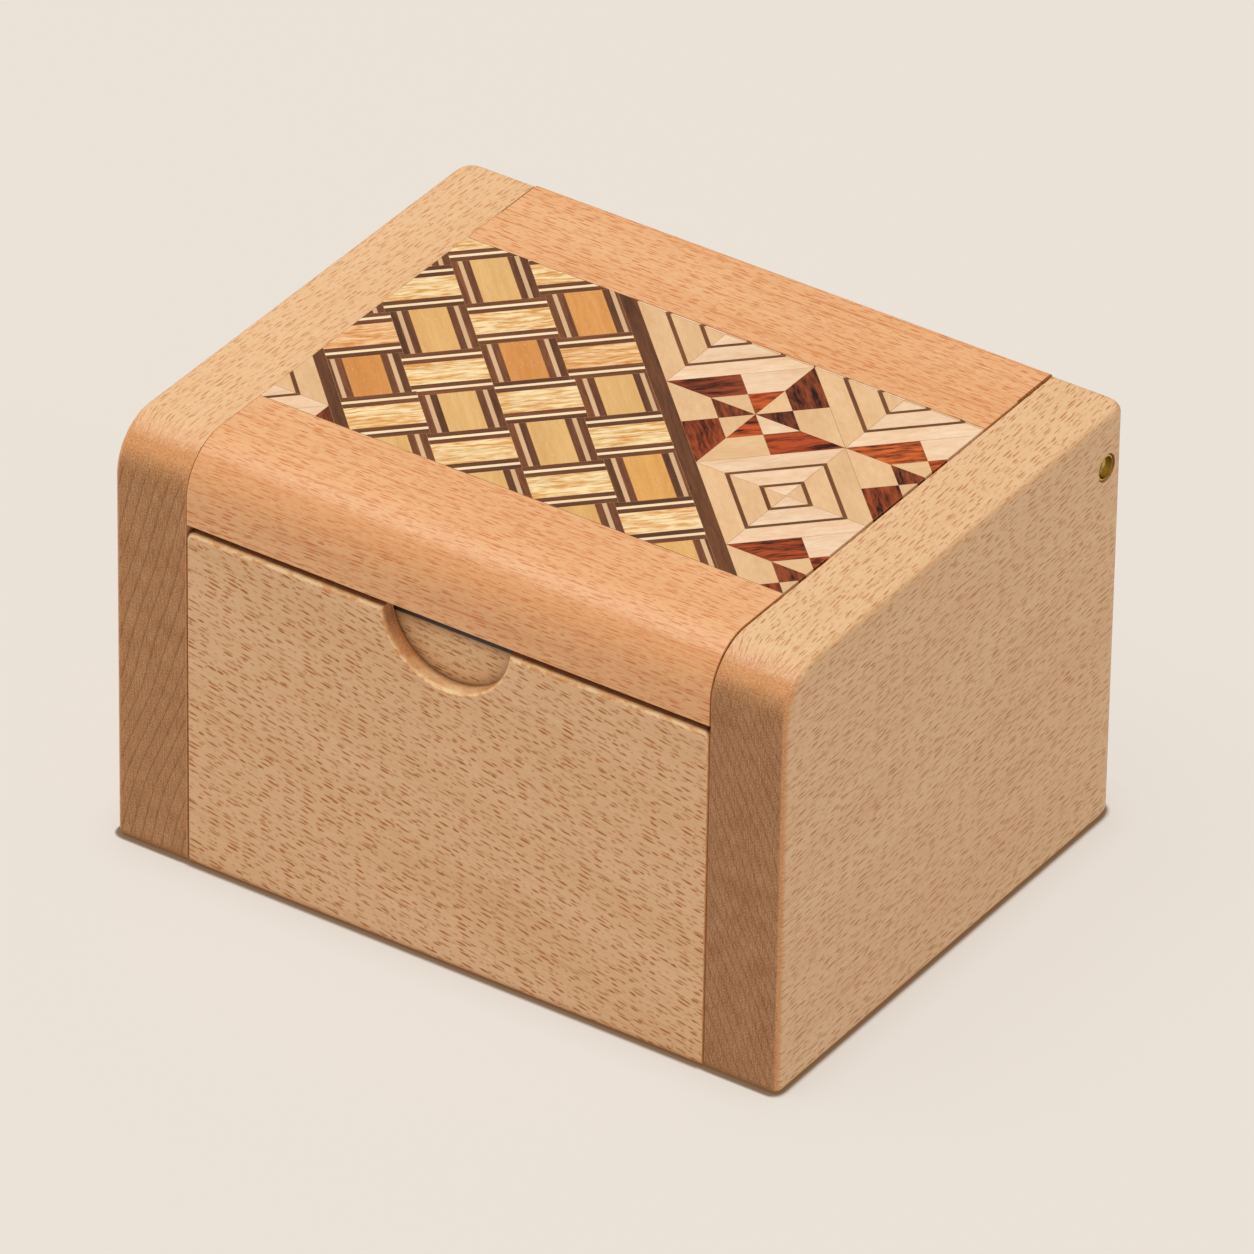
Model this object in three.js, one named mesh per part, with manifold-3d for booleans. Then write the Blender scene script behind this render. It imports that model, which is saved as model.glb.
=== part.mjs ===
// A small hardwood puzzle box in millimetres, +Z up, +X to the right, +Y to the back.
// The origin is the middle of the footprint, on the table.
//
// Two thick side boards carry everything. The marquetry lid swings on two brass pins at the back.
// The thin front panel slides down on two dovetail keys and bares a slot in the board behind it.
// A stud in that slot moves a hidden bar sideways, and the bar traps or frees the lid's catch.
// The bar stands in its free place here, so the lid can open.

import * as THREE from 'three';
import { mergeGeometries, mergeVertices } from 'three/addons/utils/BufferGeometryUtils.js';
import Module from 'manifold-3d';

const wasm = await Module();
wasm.setup();

// ---------------------------------------------------------------- driving dimensions

// Clearances
const RUN_GAP = 0.3; // between pieces that move past each other
const SEAT_GAP = 0.15; // round a pin, stud or screw in its hole
const TONGUE_CHEEK_GAP = 0.1; // each side of a tongue in its groove
const TONGUE_END_GAP = 0.3; // past the end of a tongue
const GLUE_LINE = 0.05; // round a sheet of marquetry

// Side boards
const BOX_WIDTH = 110;
const BOX_DEPTH = 85;
const SIDE_HEIGHT = 67.4;
const SIDE_THICKNESS = 12;
const FRONT_TOP_RADIUS = 8;
const BACK_TOP_RADIUS = 5;
const FOOT_RADIUS = 2;
const OUTER_EDGE_RADIUS = 1.5;
const INNER_EDGE_RADIUS = 0.5;

// Boards between the sides
const BOTTOM_THICKNESS = 6;
const BACK_THICKNESS = 8;
const FRONT_BOARD_THICKNESS = 6;
const PROP_GAP = 0.3; // between the lid and the edges that it rests on
const TONGUE_THICKNESS = 3;
const TONGUE_LENGTH = 4;
const TONGUE_HAUNCH = 5; // how far a tongue stops below the top of its board

// Lid
const LID_THICKNESS = 12;
const LID_PROUD = 0.2; // how far the lid stands above the side boards
const LID_SIDE_GAP = 0.3;
const LID_LIP_RADIUS = 0.8;
const LID_END_RADIUS = 0.4;
const LID_OPEN_ANGLE = 95;
const LID_FRONT_GAP = 1; // open joint between the lid's lip and the front panel
const HINGE_INSET = 5.2; // from the back of the box to the pin's axis
const HINGE_DROP = 8.2; // from the top of the side board to the pin's axis
const HINGE_RELIEF = 0.4; // how much the lid's ends are cut back round the pins
const HINGE_RELIEF_LENGTH = 9.2;

// Hinge pins
const PIN_RADIUS = 2;
const PIN_REACH = 10; // length inside the lid
const PIN_RECESS = 0.2;
const PIN_CUP_RADIUS = 1.7; // hollow in the pin's outer end
const PIN_CUP_DEPTH = 1.1;
const PIN_CHAMFER = 0.2;

// Front panel
const PANEL_THICKNESS = 2.5;
const PANEL_SIDE_GAP = 0.15;
const PANEL_TRAVEL = 6;
const PANEL_FOOT_GAP = 0.3; // between the panel and the table
const PANEL_TOP_EASE = 0.9;
const PANEL_SIDE_EASE = 0.3;
const PANEL_CORNER_RADIUS = 1;
const NOTCH_RADIUS = 10.4;
const NOTCH_RISE = 1; // centre of the thumb notch above the panel's top edge
const KEY_SPACING = 56;
const KEY_NECK = 6;
const KEY_FLARE = 1.2; // how much wider the key gets on each side
const KEY_DEPTH = 3;
const KEY_LENGTH = 38;
const KEY_FOOT = 2;
const STOP_PIN_RADIUS = 1.5;
const STOP_PIN_HEIGHT = 30;
const STOP_PIN_SEAT = 4; // depth in the board
const STOP_SLOT_DEPTH = 1.5;

// Lock bar and its channel
const BAR_THICKNESS = 4;
const BAR_HEIGHT = 11.3;
const BAR_LENGTH = 70;
const BAR_TRAVEL = 6;
const BAR_TOP_DROP = 2.3; // below the top of the front board
const BAR_WEB = 2.4; // wood left under the catch's slot
const STUD_RADIUS = 1.8;
const STUD_DROP = 3.6; // below the panel's top edge
const STUD_OFFSET = 28; // to the left of the middle
const STUD_RECESS = 0.2;
const STUD_SEAT = 2.5; // depth in the bar
const CHANNEL_WALL = 3;

// Lid catch
const CATCH_THICKNESS = 1.5;
const CATCH_FLANGE_THICKNESS = 1.2;
const CATCH_FLANGE_WIDTH = 10;
const CATCH_FLANGE_LENGTH = 14;
const CATCH_LEG_WIDTH = 4;
const CATCH_NOSE_HEIGHT = 2.2;
const CATCH_FOOT_GAP = 0.5; // under the nose
const CATCH_NOSE_GAP = 1; // between the nose's tip and the free bar
const SCREW_SPACING = 6;
const SCREW_LENGTH = 7;
const SCREW_RADIUS = 1;
const SCREW_HEAD_RADIUS = 1.9;
const SCREW_HEAD_HEIGHT = 1;
const SCREW_SLOT_WIDTH = 0.4;
const SCREW_SLOT_DEPTH = 0.4;

// Marquetry
const INLAY_DEPTH = 50; // front to back
const INLAY_THICKNESS = 1.5;
const INLAY_END_INSET = 0.1;
const WEAVE_ROWS = 4;
const WEAVE_PITCH = 10.67;
const WEAVE_TOP = 5.24; // across the diagonal, from the lid's middle
const WEAVE_COLUMN_START = 0.5; // along the diagonal, from the lid's middle
const WEAVE_EDGING = 2.6; // the dark, pale and dark strips along two sides of each square
const WIDE_BAND = 2.2;
const NARROW_BAND = 1.76;
const TILE_SIZE = 20.75;
const TILE_COLUMN_CENTRE = 24.5; // a nested-squares tile, along the diagonal
const LOW_TILE_COLUMN_CENTRE = -18.8;
const OUTER_SQUARE = 13.6; // side of the larger square inside a nested-squares tile
const INNER_SQUARE = 5.7;
const SCORE_WIDTH = 0.12; // of the joint between two pieces of veneer
const SCORE_DEPTH = 0.2;
const SMALLEST_PIECE = 0.3; // square millimetres, below which no piece is cut

// Smoothness
const EDGE_STEPS = 3;
const CORNER_STEPS = 4;
const CURVE_STEPS = 12;
const PIN_STEPS = 32;

// ---------------------------------------------------------------- places that follow

const halfWidth = BOX_WIDTH / 2;
const halfDepth = BOX_DEPTH / 2;
const innerHalf = halfWidth - SIDE_THICKNESS;

const lidTop = SIDE_HEIGHT + LID_PROUD;
const lidBottom = lidTop - LID_THICKNESS;
const lidHalf = innerHalf - LID_SIDE_GAP;
const hingeY = halfDepth - HINGE_INSET;
const hingeZ = SIDE_HEIGHT - HINGE_DROP;
const hingeRise = hingeZ - lidBottom;

const panelTop = lidBottom - LID_FRONT_GAP;
const boardFront = -halfDepth + PANEL_THICKNESS + RUN_GAP;
const boardBack = boardFront + FRONT_BOARD_THICKNESS;
const boardTop = lidBottom - PROP_GAP;
const backFront = halfDepth - BACK_THICKNESS;

const barFront = boardBack + RUN_GAP;
const barBack = barFront + BAR_THICKNESS;
const barTop = boardTop - BAR_TOP_DROP;
const barBottom = barTop - BAR_HEIGHT;
const studZ = panelTop - STUD_DROP;
const catchFloor = barBottom + BAR_WEB;
const noseBottom = catchFloor + CATCH_FOOT_GAP;
const noseTop = noseBottom + CATCH_NOSE_HEIGHT;
const noseLength = BAR_TRAVEL + RUN_GAP - CATCH_NOSE_GAP;
const catchBack = barBack - RUN_GAP;
const catchFront = catchBack - CATCH_THICKNESS;

// The lid's back end turns about the pins. Its lowest reach, at rest to fully open, sets the
// height of the back board: either the round under the pins or the rounded upper corner.
function lidBackReach() {
  const cornerOut = HINGE_INSET - BACK_TOP_RADIUS;
  const cornerUp = lidTop - BACK_TOP_RADIUS - hingeZ;
  let reach = HINGE_INSET;
  for (let degrees = 0; degrees <= LID_OPEN_ANGLE; degrees += 1) {
    const turn = THREE.MathUtils.degToRad(degrees);
    const cornerDrop = cornerOut * Math.sin(turn) - cornerUp * Math.cos(turn);
    reach = Math.max(reach, cornerDrop + BACK_TOP_RADIUS);
  }
  return reach;
}
const backTop = hingeZ - lidBackReach() - RUN_GAP;

// ---------------------------------------------------------------- shape helpers

// A geometry as a manifold solid: only positions, with shared vertices merged.
function toSolid(geometry) {
  const bare = geometry.clone();
  bare.deleteAttribute('normal');
  bare.deleteAttribute('uv');
  const merged = mergeVertices(bare, 1e-5);
  return new wasm.Manifold(
    new wasm.Mesh({
      numProp: 3,
      vertProperties: new Float32Array(merged.attributes.position.array),
      triVerts: new Uint32Array(merged.index.array),
    }),
  );
}

function toGeometry(solid) {
  const mesh = solid.getMesh();
  const geometry = new THREE.BufferGeometry();
  geometry.setAttribute('position', new THREE.BufferAttribute(mesh.vertProperties, 3));
  geometry.setIndex(new THREE.BufferAttribute(mesh.triVerts, 1));
  return geometry;
}

function cut(geometry, tools) {
  return toGeometry(tools.reduce((solid, tool) => solid.subtract(toSolid(tool)), toSolid(geometry)));
}

function join(geometry, others) {
  return toGeometry(others.reduce((solid, other) => solid.add(toSolid(other)), toSolid(geometry)));
}

function block(x0, x1, y0, y1, z0, z1) {
  const geometry = new THREE.BoxGeometry(x1 - x0, y1 - y0, z1 - z0);
  return geometry.translate((x0 + x1) / 2, (y0 + y1) / 2, (z0 + z1) / 2);
}

function rodAlongX(radius, x0, x1, y, z) {
  const geometry = new THREE.CylinderGeometry(radius, radius, x1 - x0, PIN_STEPS);
  return geometry.rotateZ(Math.PI / 2).translate((x0 + x1) / 2, y, z);
}

function rodAlongY(radius, x, y0, y1, z) {
  const geometry = new THREE.CylinderGeometry(radius, radius, y1 - y0, PIN_STEPS);
  return geometry.translate(x, (y0 + y1) / 2, z);
}

function rodAlongZ(radius, x, y, z0, z1) {
  const geometry = new THREE.CylinderGeometry(radius, radius, z1 - z0, PIN_STEPS);
  return geometry.rotateX(Math.PI / 2).translate(x, y, (z0 + z1) / 2);
}

// Points on an arc, in degrees, counter-clockwise when the end is the larger angle.
function arc(u, v, radius, startDegrees, endDegrees, steps) {
  const points = [];
  for (let i = 0; i <= steps; i += 1) {
    const angle = THREE.MathUtils.degToRad(startDegrees + ((endDegrees - startDegrees) * i) / steps);
    points.push([u + radius * Math.cos(angle), v + radius * Math.sin(angle)]);
  }
  return points;
}

// A rounded edge of radius 1 in steps: how far each step is sunk below the face, and drawn in.
const quarterRound = [];
for (let i = 0; i <= EDGE_STEPS; i += 1) {
  const angle = (Math.PI / 2) * (i / EDGE_STEPS);
  quarterRound.push({ sunk: 1 - Math.cos(angle), inset: 1 - Math.sin(angle) });
}

// Where a loft's outlines stand and how far each is drawn in, for a body whose two end faces
// have quarter-round edges.
function easedStations(start, end, startRadius, endRadius) {
  const near = quarterRound.map(({ sunk, inset }) => ({
    at: start + startRadius * sunk,
    inset: startRadius * inset,
  }));
  const far = quarterRound.map(({ sunk, inset }) => ({
    at: end - endRadius * sunk,
    inset: endRadius * inset,
  }));
  return [...near, ...far.reverse()];
}

const toVectors = (points) => points.map(([u, v]) => new THREE.Vector2(u, v));

// Skins counter-clockwise outlines with equally many points, and closes both ends.
// place turns an outline's (u, v) and its station into x, y and z.
function loft(stations, outlineAt, place) {
  const positions = [];
  const indices = [];
  const outlines = stations.map((station) => outlineAt(station.inset));
  const count = outlines[0].length;
  outlines.forEach((outline, ring) => {
    outline.forEach(([u, v]) => positions.push(...place(u, v, stations[ring].at)));
  });
  for (let ring = 0; ring < outlines.length - 1; ring += 1) {
    for (let i = 0; i < count; i += 1) {
      const next = (i + 1) % count;
      const a = ring * count + i;
      const b = ring * count + next;
      const c = b + count;
      const d = a + count;
      indices.push(a, b, c, a, c, d);
    }
  }
  const last = (outlines.length - 1) * count;
  const capOf = (outline) => THREE.ShapeUtils.triangulateShape(toVectors(outline), []);
  capOf(outlines[0]).forEach(([a, b, c]) => indices.push(c, b, a));
  capOf(outlines.at(-1)).forEach(([a, b, c]) => indices.push(last + a, last + b, last + c));
  const geometry = new THREE.BufferGeometry();
  geometry.setAttribute('position', new THREE.Float32BufferAttribute(positions, 3));
  geometry.setIndex(indices);
  return geometry;
}

const alongX = (y, z, x) => [x, y, z];
const towardsFront = (x, z, reach) => [x, -reach, z];

// A flat outline in x and y, pushed up from z0 to z1.
function slab(outline, z0, z1) {
  const shape = new THREE.Shape(toVectors(outline));
  const geometry = new THREE.ExtrudeGeometry(shape, { depth: z1 - z0, bevelEnabled: false });
  return geometry.translate(0, 0, z0);
}

// A slot with round ends in x and z, cut from y0 to y1.
function roundSlot(radius, x0, x1, z0, z1, y0, y1) {
  const straight =
    x1 > x0
      ? block(x0, x1, y0, y1, z0 - radius, z0 + radius)
      : block(x0 - radius, x0 + radius, y0, y1, z0, z1);
  return join(rodAlongY(radius, x0, y0, y1, z0), [straight, rodAlongY(radius, x1, y0, y1, z1)]);
}

// ---------------------------------------------------------------- woods and metal

const woods = {
  beech: { color: 0xd9aa78, roughness: 0.55 },
  pinkBeech: { color: 0xdba578, roughness: 0.5 },
  walnut: { color: 0x5d4132, roughness: 0.5 },
  ash: { color: 0xe6c47e, roughness: 0.5 },
  maple: { color: 0xe3c496, roughness: 0.5 },
};

const wood = (name) => new THREE.MeshStandardMaterial({ ...woods[name], metalness: 0 });
const brass = () => new THREE.MeshStandardMaterial({ color: 0xb8912f, roughness: 0.3, metalness: 1 });

function addPiece(group, name, geometry, material) {
  const mesh = new THREE.Mesh(geometry, material);
  mesh.name = name;
  group.add(mesh);
  return mesh;
}

// ---------------------------------------------------------------- carcass

// The side board's outline from the side, drawn in by an inset.
function sideOutline(inset) {
  const low = inset;
  const high = SIDE_HEIGHT - inset;
  const front = -halfDepth + inset;
  const back = halfDepth - inset;
  const foot = FOOT_RADIUS - inset;
  const frontTop = FRONT_TOP_RADIUS - inset;
  const backTopRound = BACK_TOP_RADIUS - inset;
  return [
    ...arc(front + foot, low + foot, foot, 180, 270, CORNER_STEPS),
    ...arc(back - foot, low + foot, foot, 270, 360, CORNER_STEPS),
    ...arc(back - backTopRound, high - backTopRound, backTopRound, 0, 90, CURVE_STEPS),
    ...arc(front + frontTop, high - frontTop, frontTop, 90, 180, CURVE_STEPS),
  ];
}

// The grooves that take the tongues of the three boards, and the hinge bore, in the right board.
function sideCuts() {
  const grooveEnd = innerHalf + TONGUE_LENGTH + TONGUE_END_GAP;
  const grooveHalf = TONGUE_THICKNESS / 2 + TONGUE_CHEEK_GAP;
  const boardMiddle = (boardFront + boardBack) / 2;
  const backMiddle = (backFront + halfDepth) / 2;
  const below = -1;
  const open = innerHalf - 1;
  const frontGrooveTop = boardTop - TONGUE_HAUNCH + TONGUE_END_GAP;
  const backGrooveTop = backTop - TONGUE_HAUNCH + TONGUE_END_GAP;
  const bottomMiddle = BOTTOM_THICKNESS / 2;
  return [
    block(open, grooveEnd, boardMiddle - grooveHalf, boardMiddle + grooveHalf, below, frontGrooveTop),
    block(open, grooveEnd, backMiddle - grooveHalf, backMiddle + grooveHalf, below, backGrooveTop),
    block(open, grooveEnd, boardBack, backFront, bottomMiddle - grooveHalf, bottomMiddle + grooveHalf),
    rodAlongX(PIN_RADIUS + SEAT_GAP, innerHalf - 1, halfWidth + 1, hingeY, hingeZ),
  ];
}

function sideBoardRight() {
  const stations = easedStations(innerHalf, halfWidth, INNER_EDGE_RADIUS, OUTER_EDGE_RADIUS);
  return cut(loft(stations, sideOutline, alongX), sideCuts());
}

function mirrored(geometry) {
  const solid = toSolid(geometry);
  return toGeometry(solid.mirror([1, 0, 0]));
}

// A board between the sides, with a tongue on each end that stops short of its top.
function uprightBoard(front, back, top) {
  const middle = (front + back) / 2;
  const half = TONGUE_THICKNESS / 2;
  const reach = innerHalf + TONGUE_LENGTH;
  const tongue = block(-reach, reach, middle - half, middle + half, 0, top - TONGUE_HAUNCH);
  return join(block(-innerHalf, innerHalf, front, back, 0, top), [tongue]);
}

// The dovetail that the panel's keys run in, widened all round by a clearance.
function dovetail(x, widen, deepen) {
  const neck = KEY_NECK / 2 + widen;
  const tail = neck + KEY_FLARE;
  const mouth = -halfDepth + PANEL_THICKNESS;
  const floor = mouth + KEY_DEPTH + deepen;
  return [
    [x - neck, mouth],
    [x + neck, mouth],
    [x + tail, floor],
    [x - tail, floor],
  ];
}

function innerFrontBoard() {
  const keyTop = KEY_FOOT + KEY_LENGTH + RUN_GAP;
  const slotRadius = STUD_RADIUS + SEAT_GAP;
  const tools = [-1, 1].map((side) => slab(dovetail((side * KEY_SPACING) / 2, RUN_GAP, RUN_GAP), -1, keyTop));
  const slotEnd = -STUD_OFFSET + BAR_TRAVEL;
  tools.push(roundSlot(slotRadius, -STUD_OFFSET, slotEnd, studZ, studZ, boardFront - 1, boardBack + 1));
  const seatEnd = boardFront + STOP_PIN_SEAT;
  tools.push(rodAlongY(STOP_PIN_RADIUS + SEAT_GAP, 0, boardFront - 1, seatEnd, STOP_PIN_HEIGHT));
  return cut(uprightBoard(boardFront, boardBack, boardTop), tools);
}

function bottomBoard() {
  const middle = BOTTOM_THICKNESS / 2;
  const reach = innerHalf + TONGUE_LENGTH;
  const half = TONGUE_THICKNESS / 2;
  const front = boardBack + TONGUE_END_GAP;
  const back = backFront - TONGUE_END_GAP;
  const tongue = block(-reach, reach, front, back, middle - half, middle + half);
  return join(block(-innerHalf, innerHalf, boardBack, backFront, 0, BOTTOM_THICKNESS), [tongue]);
}

// An upright L behind the front board: a ledge under the bar, and a wall that the lid rests on.
function lockChannel() {
  const reach = innerHalf - SEAT_GAP;
  const ledgeTop = barBottom - RUN_GAP;
  const wallFront = barBack + RUN_GAP;
  const wallBack = wallFront + CHANNEL_WALL;
  const ledge = block(-reach, reach, boardBack, wallBack, ledgeTop - CHANNEL_WALL, ledgeTop);
  const wall = block(-reach, reach, wallFront, wallBack, ledgeTop - CHANNEL_WALL, boardTop);
  return join(ledge, [wall]);
}

// A peg standing on y = 0 along +y, chamfered at both ends, with a cup in the end at y = 0.
function turned(radius, length, cupRadius, cupDepth) {
  const near = cupDepth > 0 ? [[0, cupDepth], [cupRadius, cupDepth], [cupRadius, 0]] : [[0, 0]];
  const profile = [
    ...near,
    [radius - PIN_CHAMFER, 0],
    [radius, PIN_CHAMFER],
    [radius, length - PIN_CHAMFER],
    [radius - PIN_CHAMFER, length],
    [0, length],
  ];
  return new THREE.LatheGeometry(toVectors(profile), PIN_STEPS);
}

function stopPin() {
  const seatEnd = boardFront + STOP_PIN_SEAT - SEAT_GAP;
  const tip = -halfDepth + PANEL_THICKNESS - STOP_SLOT_DEPTH + RUN_GAP;
  return turned(STOP_PIN_RADIUS, seatEnd - tip, 0, 0).translate(0, tip, STOP_PIN_HEIGHT);
}

// side is 1 on the right and -1 on the left; the cup faces outwards.
function hingePin(side) {
  const outer = halfWidth - PIN_RECESS;
  const inner = lidHalf - PIN_REACH;
  const pin = turned(PIN_RADIUS, outer - inner, PIN_CUP_RADIUS, PIN_CUP_DEPTH);
  return pin.rotateZ((side * Math.PI) / 2).translate(side * outer, hingeY, hingeZ);
}

// ---------------------------------------------------------------- front panel

// The panel from the front with its thumb notch, drawn in by shares of its two edge roundings.
function panelOutline(share) {
  const side = innerHalf - PANEL_SIDE_GAP - PANEL_SIDE_EASE * share;
  const low = PANEL_FOOT_GAP + PANEL_SIDE_EASE * share;
  const high = panelTop - PANEL_TOP_EASE * share;
  const corner = PANEL_CORNER_RADIUS;
  const notch = NOTCH_RADIUS + PANEL_TOP_EASE * share;
  const notchZ = panelTop + NOTCH_RISE;
  const lean = THREE.MathUtils.radToDeg(Math.asin((notchZ - high) / notch));
  return [
    [-side, low],
    [side, low],
    ...arc(side - corner, high - corner, corner, 0, 90, CORNER_STEPS),
    ...arc(0, notchZ, notch, 360 - lean, 180 + lean, 2 * CURVE_STEPS),
    ...arc(-side + corner, high - corner, corner, 90, 180, CORNER_STEPS),
  ];
}

function frontPanel() {
  const back = halfDepth - PANEL_THICKNESS;
  const eased = quarterRound.map(({ sunk, inset }) => ({ at: halfDepth - PANEL_TOP_EASE * sunk, inset }));
  const stations = [{ at: back, inset: 0 }, ...eased.reverse()];
  const slotTop = STOP_PIN_HEIGHT + PANEL_TRAVEL;
  const floor = -back - STOP_SLOT_DEPTH;
  const radius = STOP_PIN_RADIUS + SEAT_GAP;
  const stopSlot = roundSlot(radius, 0, 0, STOP_PIN_HEIGHT, slotTop, floor, -back + 1);
  return cut(loft(stations, panelOutline, towardsFront), [stopSlot]);
}

// side is 1 on the right and -1 on the left.
function panelKey(side) {
  return slab(dovetail((side * KEY_SPACING) / 2, 0, 0), KEY_FOOT, KEY_FOOT + KEY_LENGTH);
}

// ---------------------------------------------------------------- lock bar

// The bar's slot is open at the top for the catch to come down, and runs on to the left under
// an overhang, which slides over the catch's nose when the bar is pushed to the right.
function lockBar() {
  const legHalf = CATCH_LEG_WIDTH / 2;
  const noseTip = -legHalf - noseLength;
  const mouthLeft = noseTip - CATCH_NOSE_GAP;
  const slotRight = legHalf + RUN_GAP;
  const underLeft = noseTip - BAR_TRAVEL - RUN_GAP;
  const left = -(BAR_LENGTH + BAR_TRAVEL) / 2;
  const bar = block(left, left + BAR_LENGTH, barFront, barBack, barBottom, barTop);
  const mouth = block(mouthLeft, slotRight, barFront - 1, barBack + 1, catchFloor, barTop + 1);
  const under = block(underLeft, mouthLeft + 1, barFront - 1, barBack + 1, catchFloor, noseTop + RUN_GAP);
  const seat = rodAlongY(STUD_RADIUS + SEAT_GAP, -STUD_OFFSET, barFront - 1, barFront + STUD_SEAT, studZ);
  return cut(bar, [mouth, under, seat]);
}

function fingerStud() {
  const tip = boardFront + STUD_RECESS;
  const end = barFront + STUD_SEAT - SEAT_GAP;
  return turned(STUD_RADIUS, end - tip, 0, 0).translate(-STUD_OFFSET, tip, studZ);
}

// ---------------------------------------------------------------- lid

// The lid from the side: a bullnose like the side boards' at the front, and at the back a round
// about the pins, so that it turns clear of the back board. Heights are above the lid's underside.
function lidOutline(inset) {
  const low = inset;
  const high = LID_THICKNESS - inset;
  const front = -halfDepth + inset;
  const back = halfDepth - inset;
  const lip = LID_LIP_RADIUS - inset;
  const frontTop = FRONT_TOP_RADIUS - inset;
  const backTopRound = BACK_TOP_RADIUS - inset;
  const heel = HINGE_INSET - inset;
  const heelStart = -THREE.MathUtils.radToDeg(Math.asin((hingeRise - low) / heel));
  return [
    ...arc(front + lip, low + lip, lip, 180, 270, CORNER_STEPS),
    ...arc(hingeY, hingeRise, heel, heelStart, 0, CURVE_STEPS / 2),
    ...arc(back - backTopRound, high - backTopRound, backTopRound, 0, 90, CURVE_STEPS),
    ...arc(front + frontTop, high - frontTop, frontTop, 90, 180, CURVE_STEPS),
  ];
}

function screwPlaces() {
  const middle = catchFront + CATCH_THICKNESS + (CATCH_FLANGE_LENGTH - CATCH_THICKNESS) / 2;
  return [middle - SCREW_SPACING / 2, middle + SCREW_SPACING / 2];
}

function lidBoard() {
  const stations = easedStations(-lidHalf, lidHalf, LID_END_RADIUS, LID_END_RADIUS);
  const beyond = lidHalf + 1;
  const above = LID_THICKNESS + 1;
  const inlayFloor = LID_THICKNESS - INLAY_THICKNESS - GLUE_LINE;
  const inlayHalf = INLAY_DEPTH / 2 + GLUE_LINE;
  const boreEnd = lidHalf - PIN_REACH - RUN_GAP;
  const reliefEnd = lidHalf - HINGE_RELIEF;
  const reliefFront = halfDepth - HINGE_RELIEF_LENGTH;
  const bore = rodAlongX(PIN_RADIUS + RUN_GAP, boreEnd, beyond, hingeY, hingeRise);
  const relief = block(reliefEnd, beyond, reliefFront, halfDepth + 1, -1, above);
  const tools = [
    block(-beyond, beyond, -inlayHalf, inlayHalf, inlayFloor, above),
    bore,
    mirrored(bore),
    relief,
    mirrored(relief),
  ];
  const pocketHalf = CATCH_FLANGE_WIDTH / 2 + SEAT_GAP;
  const pocketFront = catchFront - SEAT_GAP;
  const pocketBack = catchFront + CATCH_FLANGE_LENGTH + SEAT_GAP;
  tools.push(block(-pocketHalf, pocketHalf, pocketFront, pocketBack, -1, CATCH_FLANGE_THICKNESS));
  screwPlaces().forEach((y) => {
    tools.push(rodAlongZ(SCREW_RADIUS + SEAT_GAP, 0, y, -1, SCREW_LENGTH + SEAT_GAP));
  });
  return cut(loft(stations, lidOutline, alongX), tools);
}

// A brass angle: a flange let into the lid, and a leg whose nose points left at its foot.
function lidCatch() {
  const flangeHalf = CATCH_FLANGE_WIDTH / 2;
  const legHalf = CATCH_LEG_WIDTH / 2;
  const foot = noseBottom - lidBottom;
  const tip = -legHalf - noseLength;
  const noseRound = CATCH_NOSE_HEIGHT / 2;
  const legOutline = [
    [legHalf, foot],
    [legHalf, CATCH_FLANGE_THICKNESS],
    [-legHalf, CATCH_FLANGE_THICKNESS],
    [-legHalf, foot + CATCH_NOSE_HEIGHT],
    ...arc(tip + noseRound, foot + noseRound, noseRound, 90, 270, CORNER_STEPS),
  ];
  const leg = slab(legOutline, 0, CATCH_THICKNESS).rotateX(Math.PI / 2).translate(0, catchBack, 0);
  const flangeBack = catchFront + CATCH_FLANGE_LENGTH;
  const flange = block(-flangeHalf, flangeHalf, catchFront, flangeBack, 0, CATCH_FLANGE_THICKNESS);
  const holes = screwPlaces().map((y) => screwShape(SEAT_GAP).translate(0, y, 0));
  return cut(join(leg, [flange]), holes);
}

// A countersunk screw pointing up from z = 0, swollen all round by a clearance.
function screwShape(swell) {
  const foot = swell > 0 ? -swell : 0;
  const profile = [
    [0, foot],
    [SCREW_HEAD_RADIUS + swell, foot],
    [SCREW_RADIUS + swell, SCREW_HEAD_HEIGHT],
    [SCREW_RADIUS + swell, SCREW_LENGTH - SCREW_RADIUS],
    [0, SCREW_LENGTH],
  ];
  return new THREE.LatheGeometry(toVectors(profile), PIN_STEPS / 2).rotateX(Math.PI / 2);
}

function catchScrew(y) {
  const reach = SCREW_HEAD_RADIUS + 1;
  const half = SCREW_SLOT_WIDTH / 2;
  const slot = block(-reach, reach, -half, half, -1, SCREW_SLOT_DEPTH);
  return cut(screwShape(0), [slot]).translate(0, y, 0);
}

// ---------------------------------------------------------------- marquetry

// The pattern runs on the lid's diagonals: u towards the front right, v towards the back right.
// Each piece is a convex outline, cut off at the edges of the inlay.
const diagonal = Math.SQRT1_2;
const inlayEnd = lidHalf - INLAY_END_INSET;
const inlayEdges = [
  { normal: [diagonal, diagonal], reach: inlayEnd },
  { normal: [-diagonal, -diagonal], reach: inlayEnd },
  { normal: [-diagonal, diagonal], reach: INLAY_DEPTH / 2 },
  { normal: [diagonal, -diagonal], reach: INLAY_DEPTH / 2 },
];

// Keeps the side of an outline where the dot product with the normal is at most the reach.
function clip(outline, { normal, reach }) {
  const kept = [];
  const depthOf = ([u, v]) => u * normal[0] + v * normal[1] - reach;
  outline.forEach((point, i) => {
    const next = outline[(i + 1) % outline.length];
    const here = depthOf(point);
    const there = depthOf(next);
    if (here <= 0) {
      kept.push(point);
    }
    if (here < 0 !== there < 0 && here !== 0 && there !== 0) {
      const share = here / (here - there);
      kept.push([point[0] + share * (next[0] - point[0]), point[1] + share * (next[1] - point[1])]);
    }
  });
  return kept;
}

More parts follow.
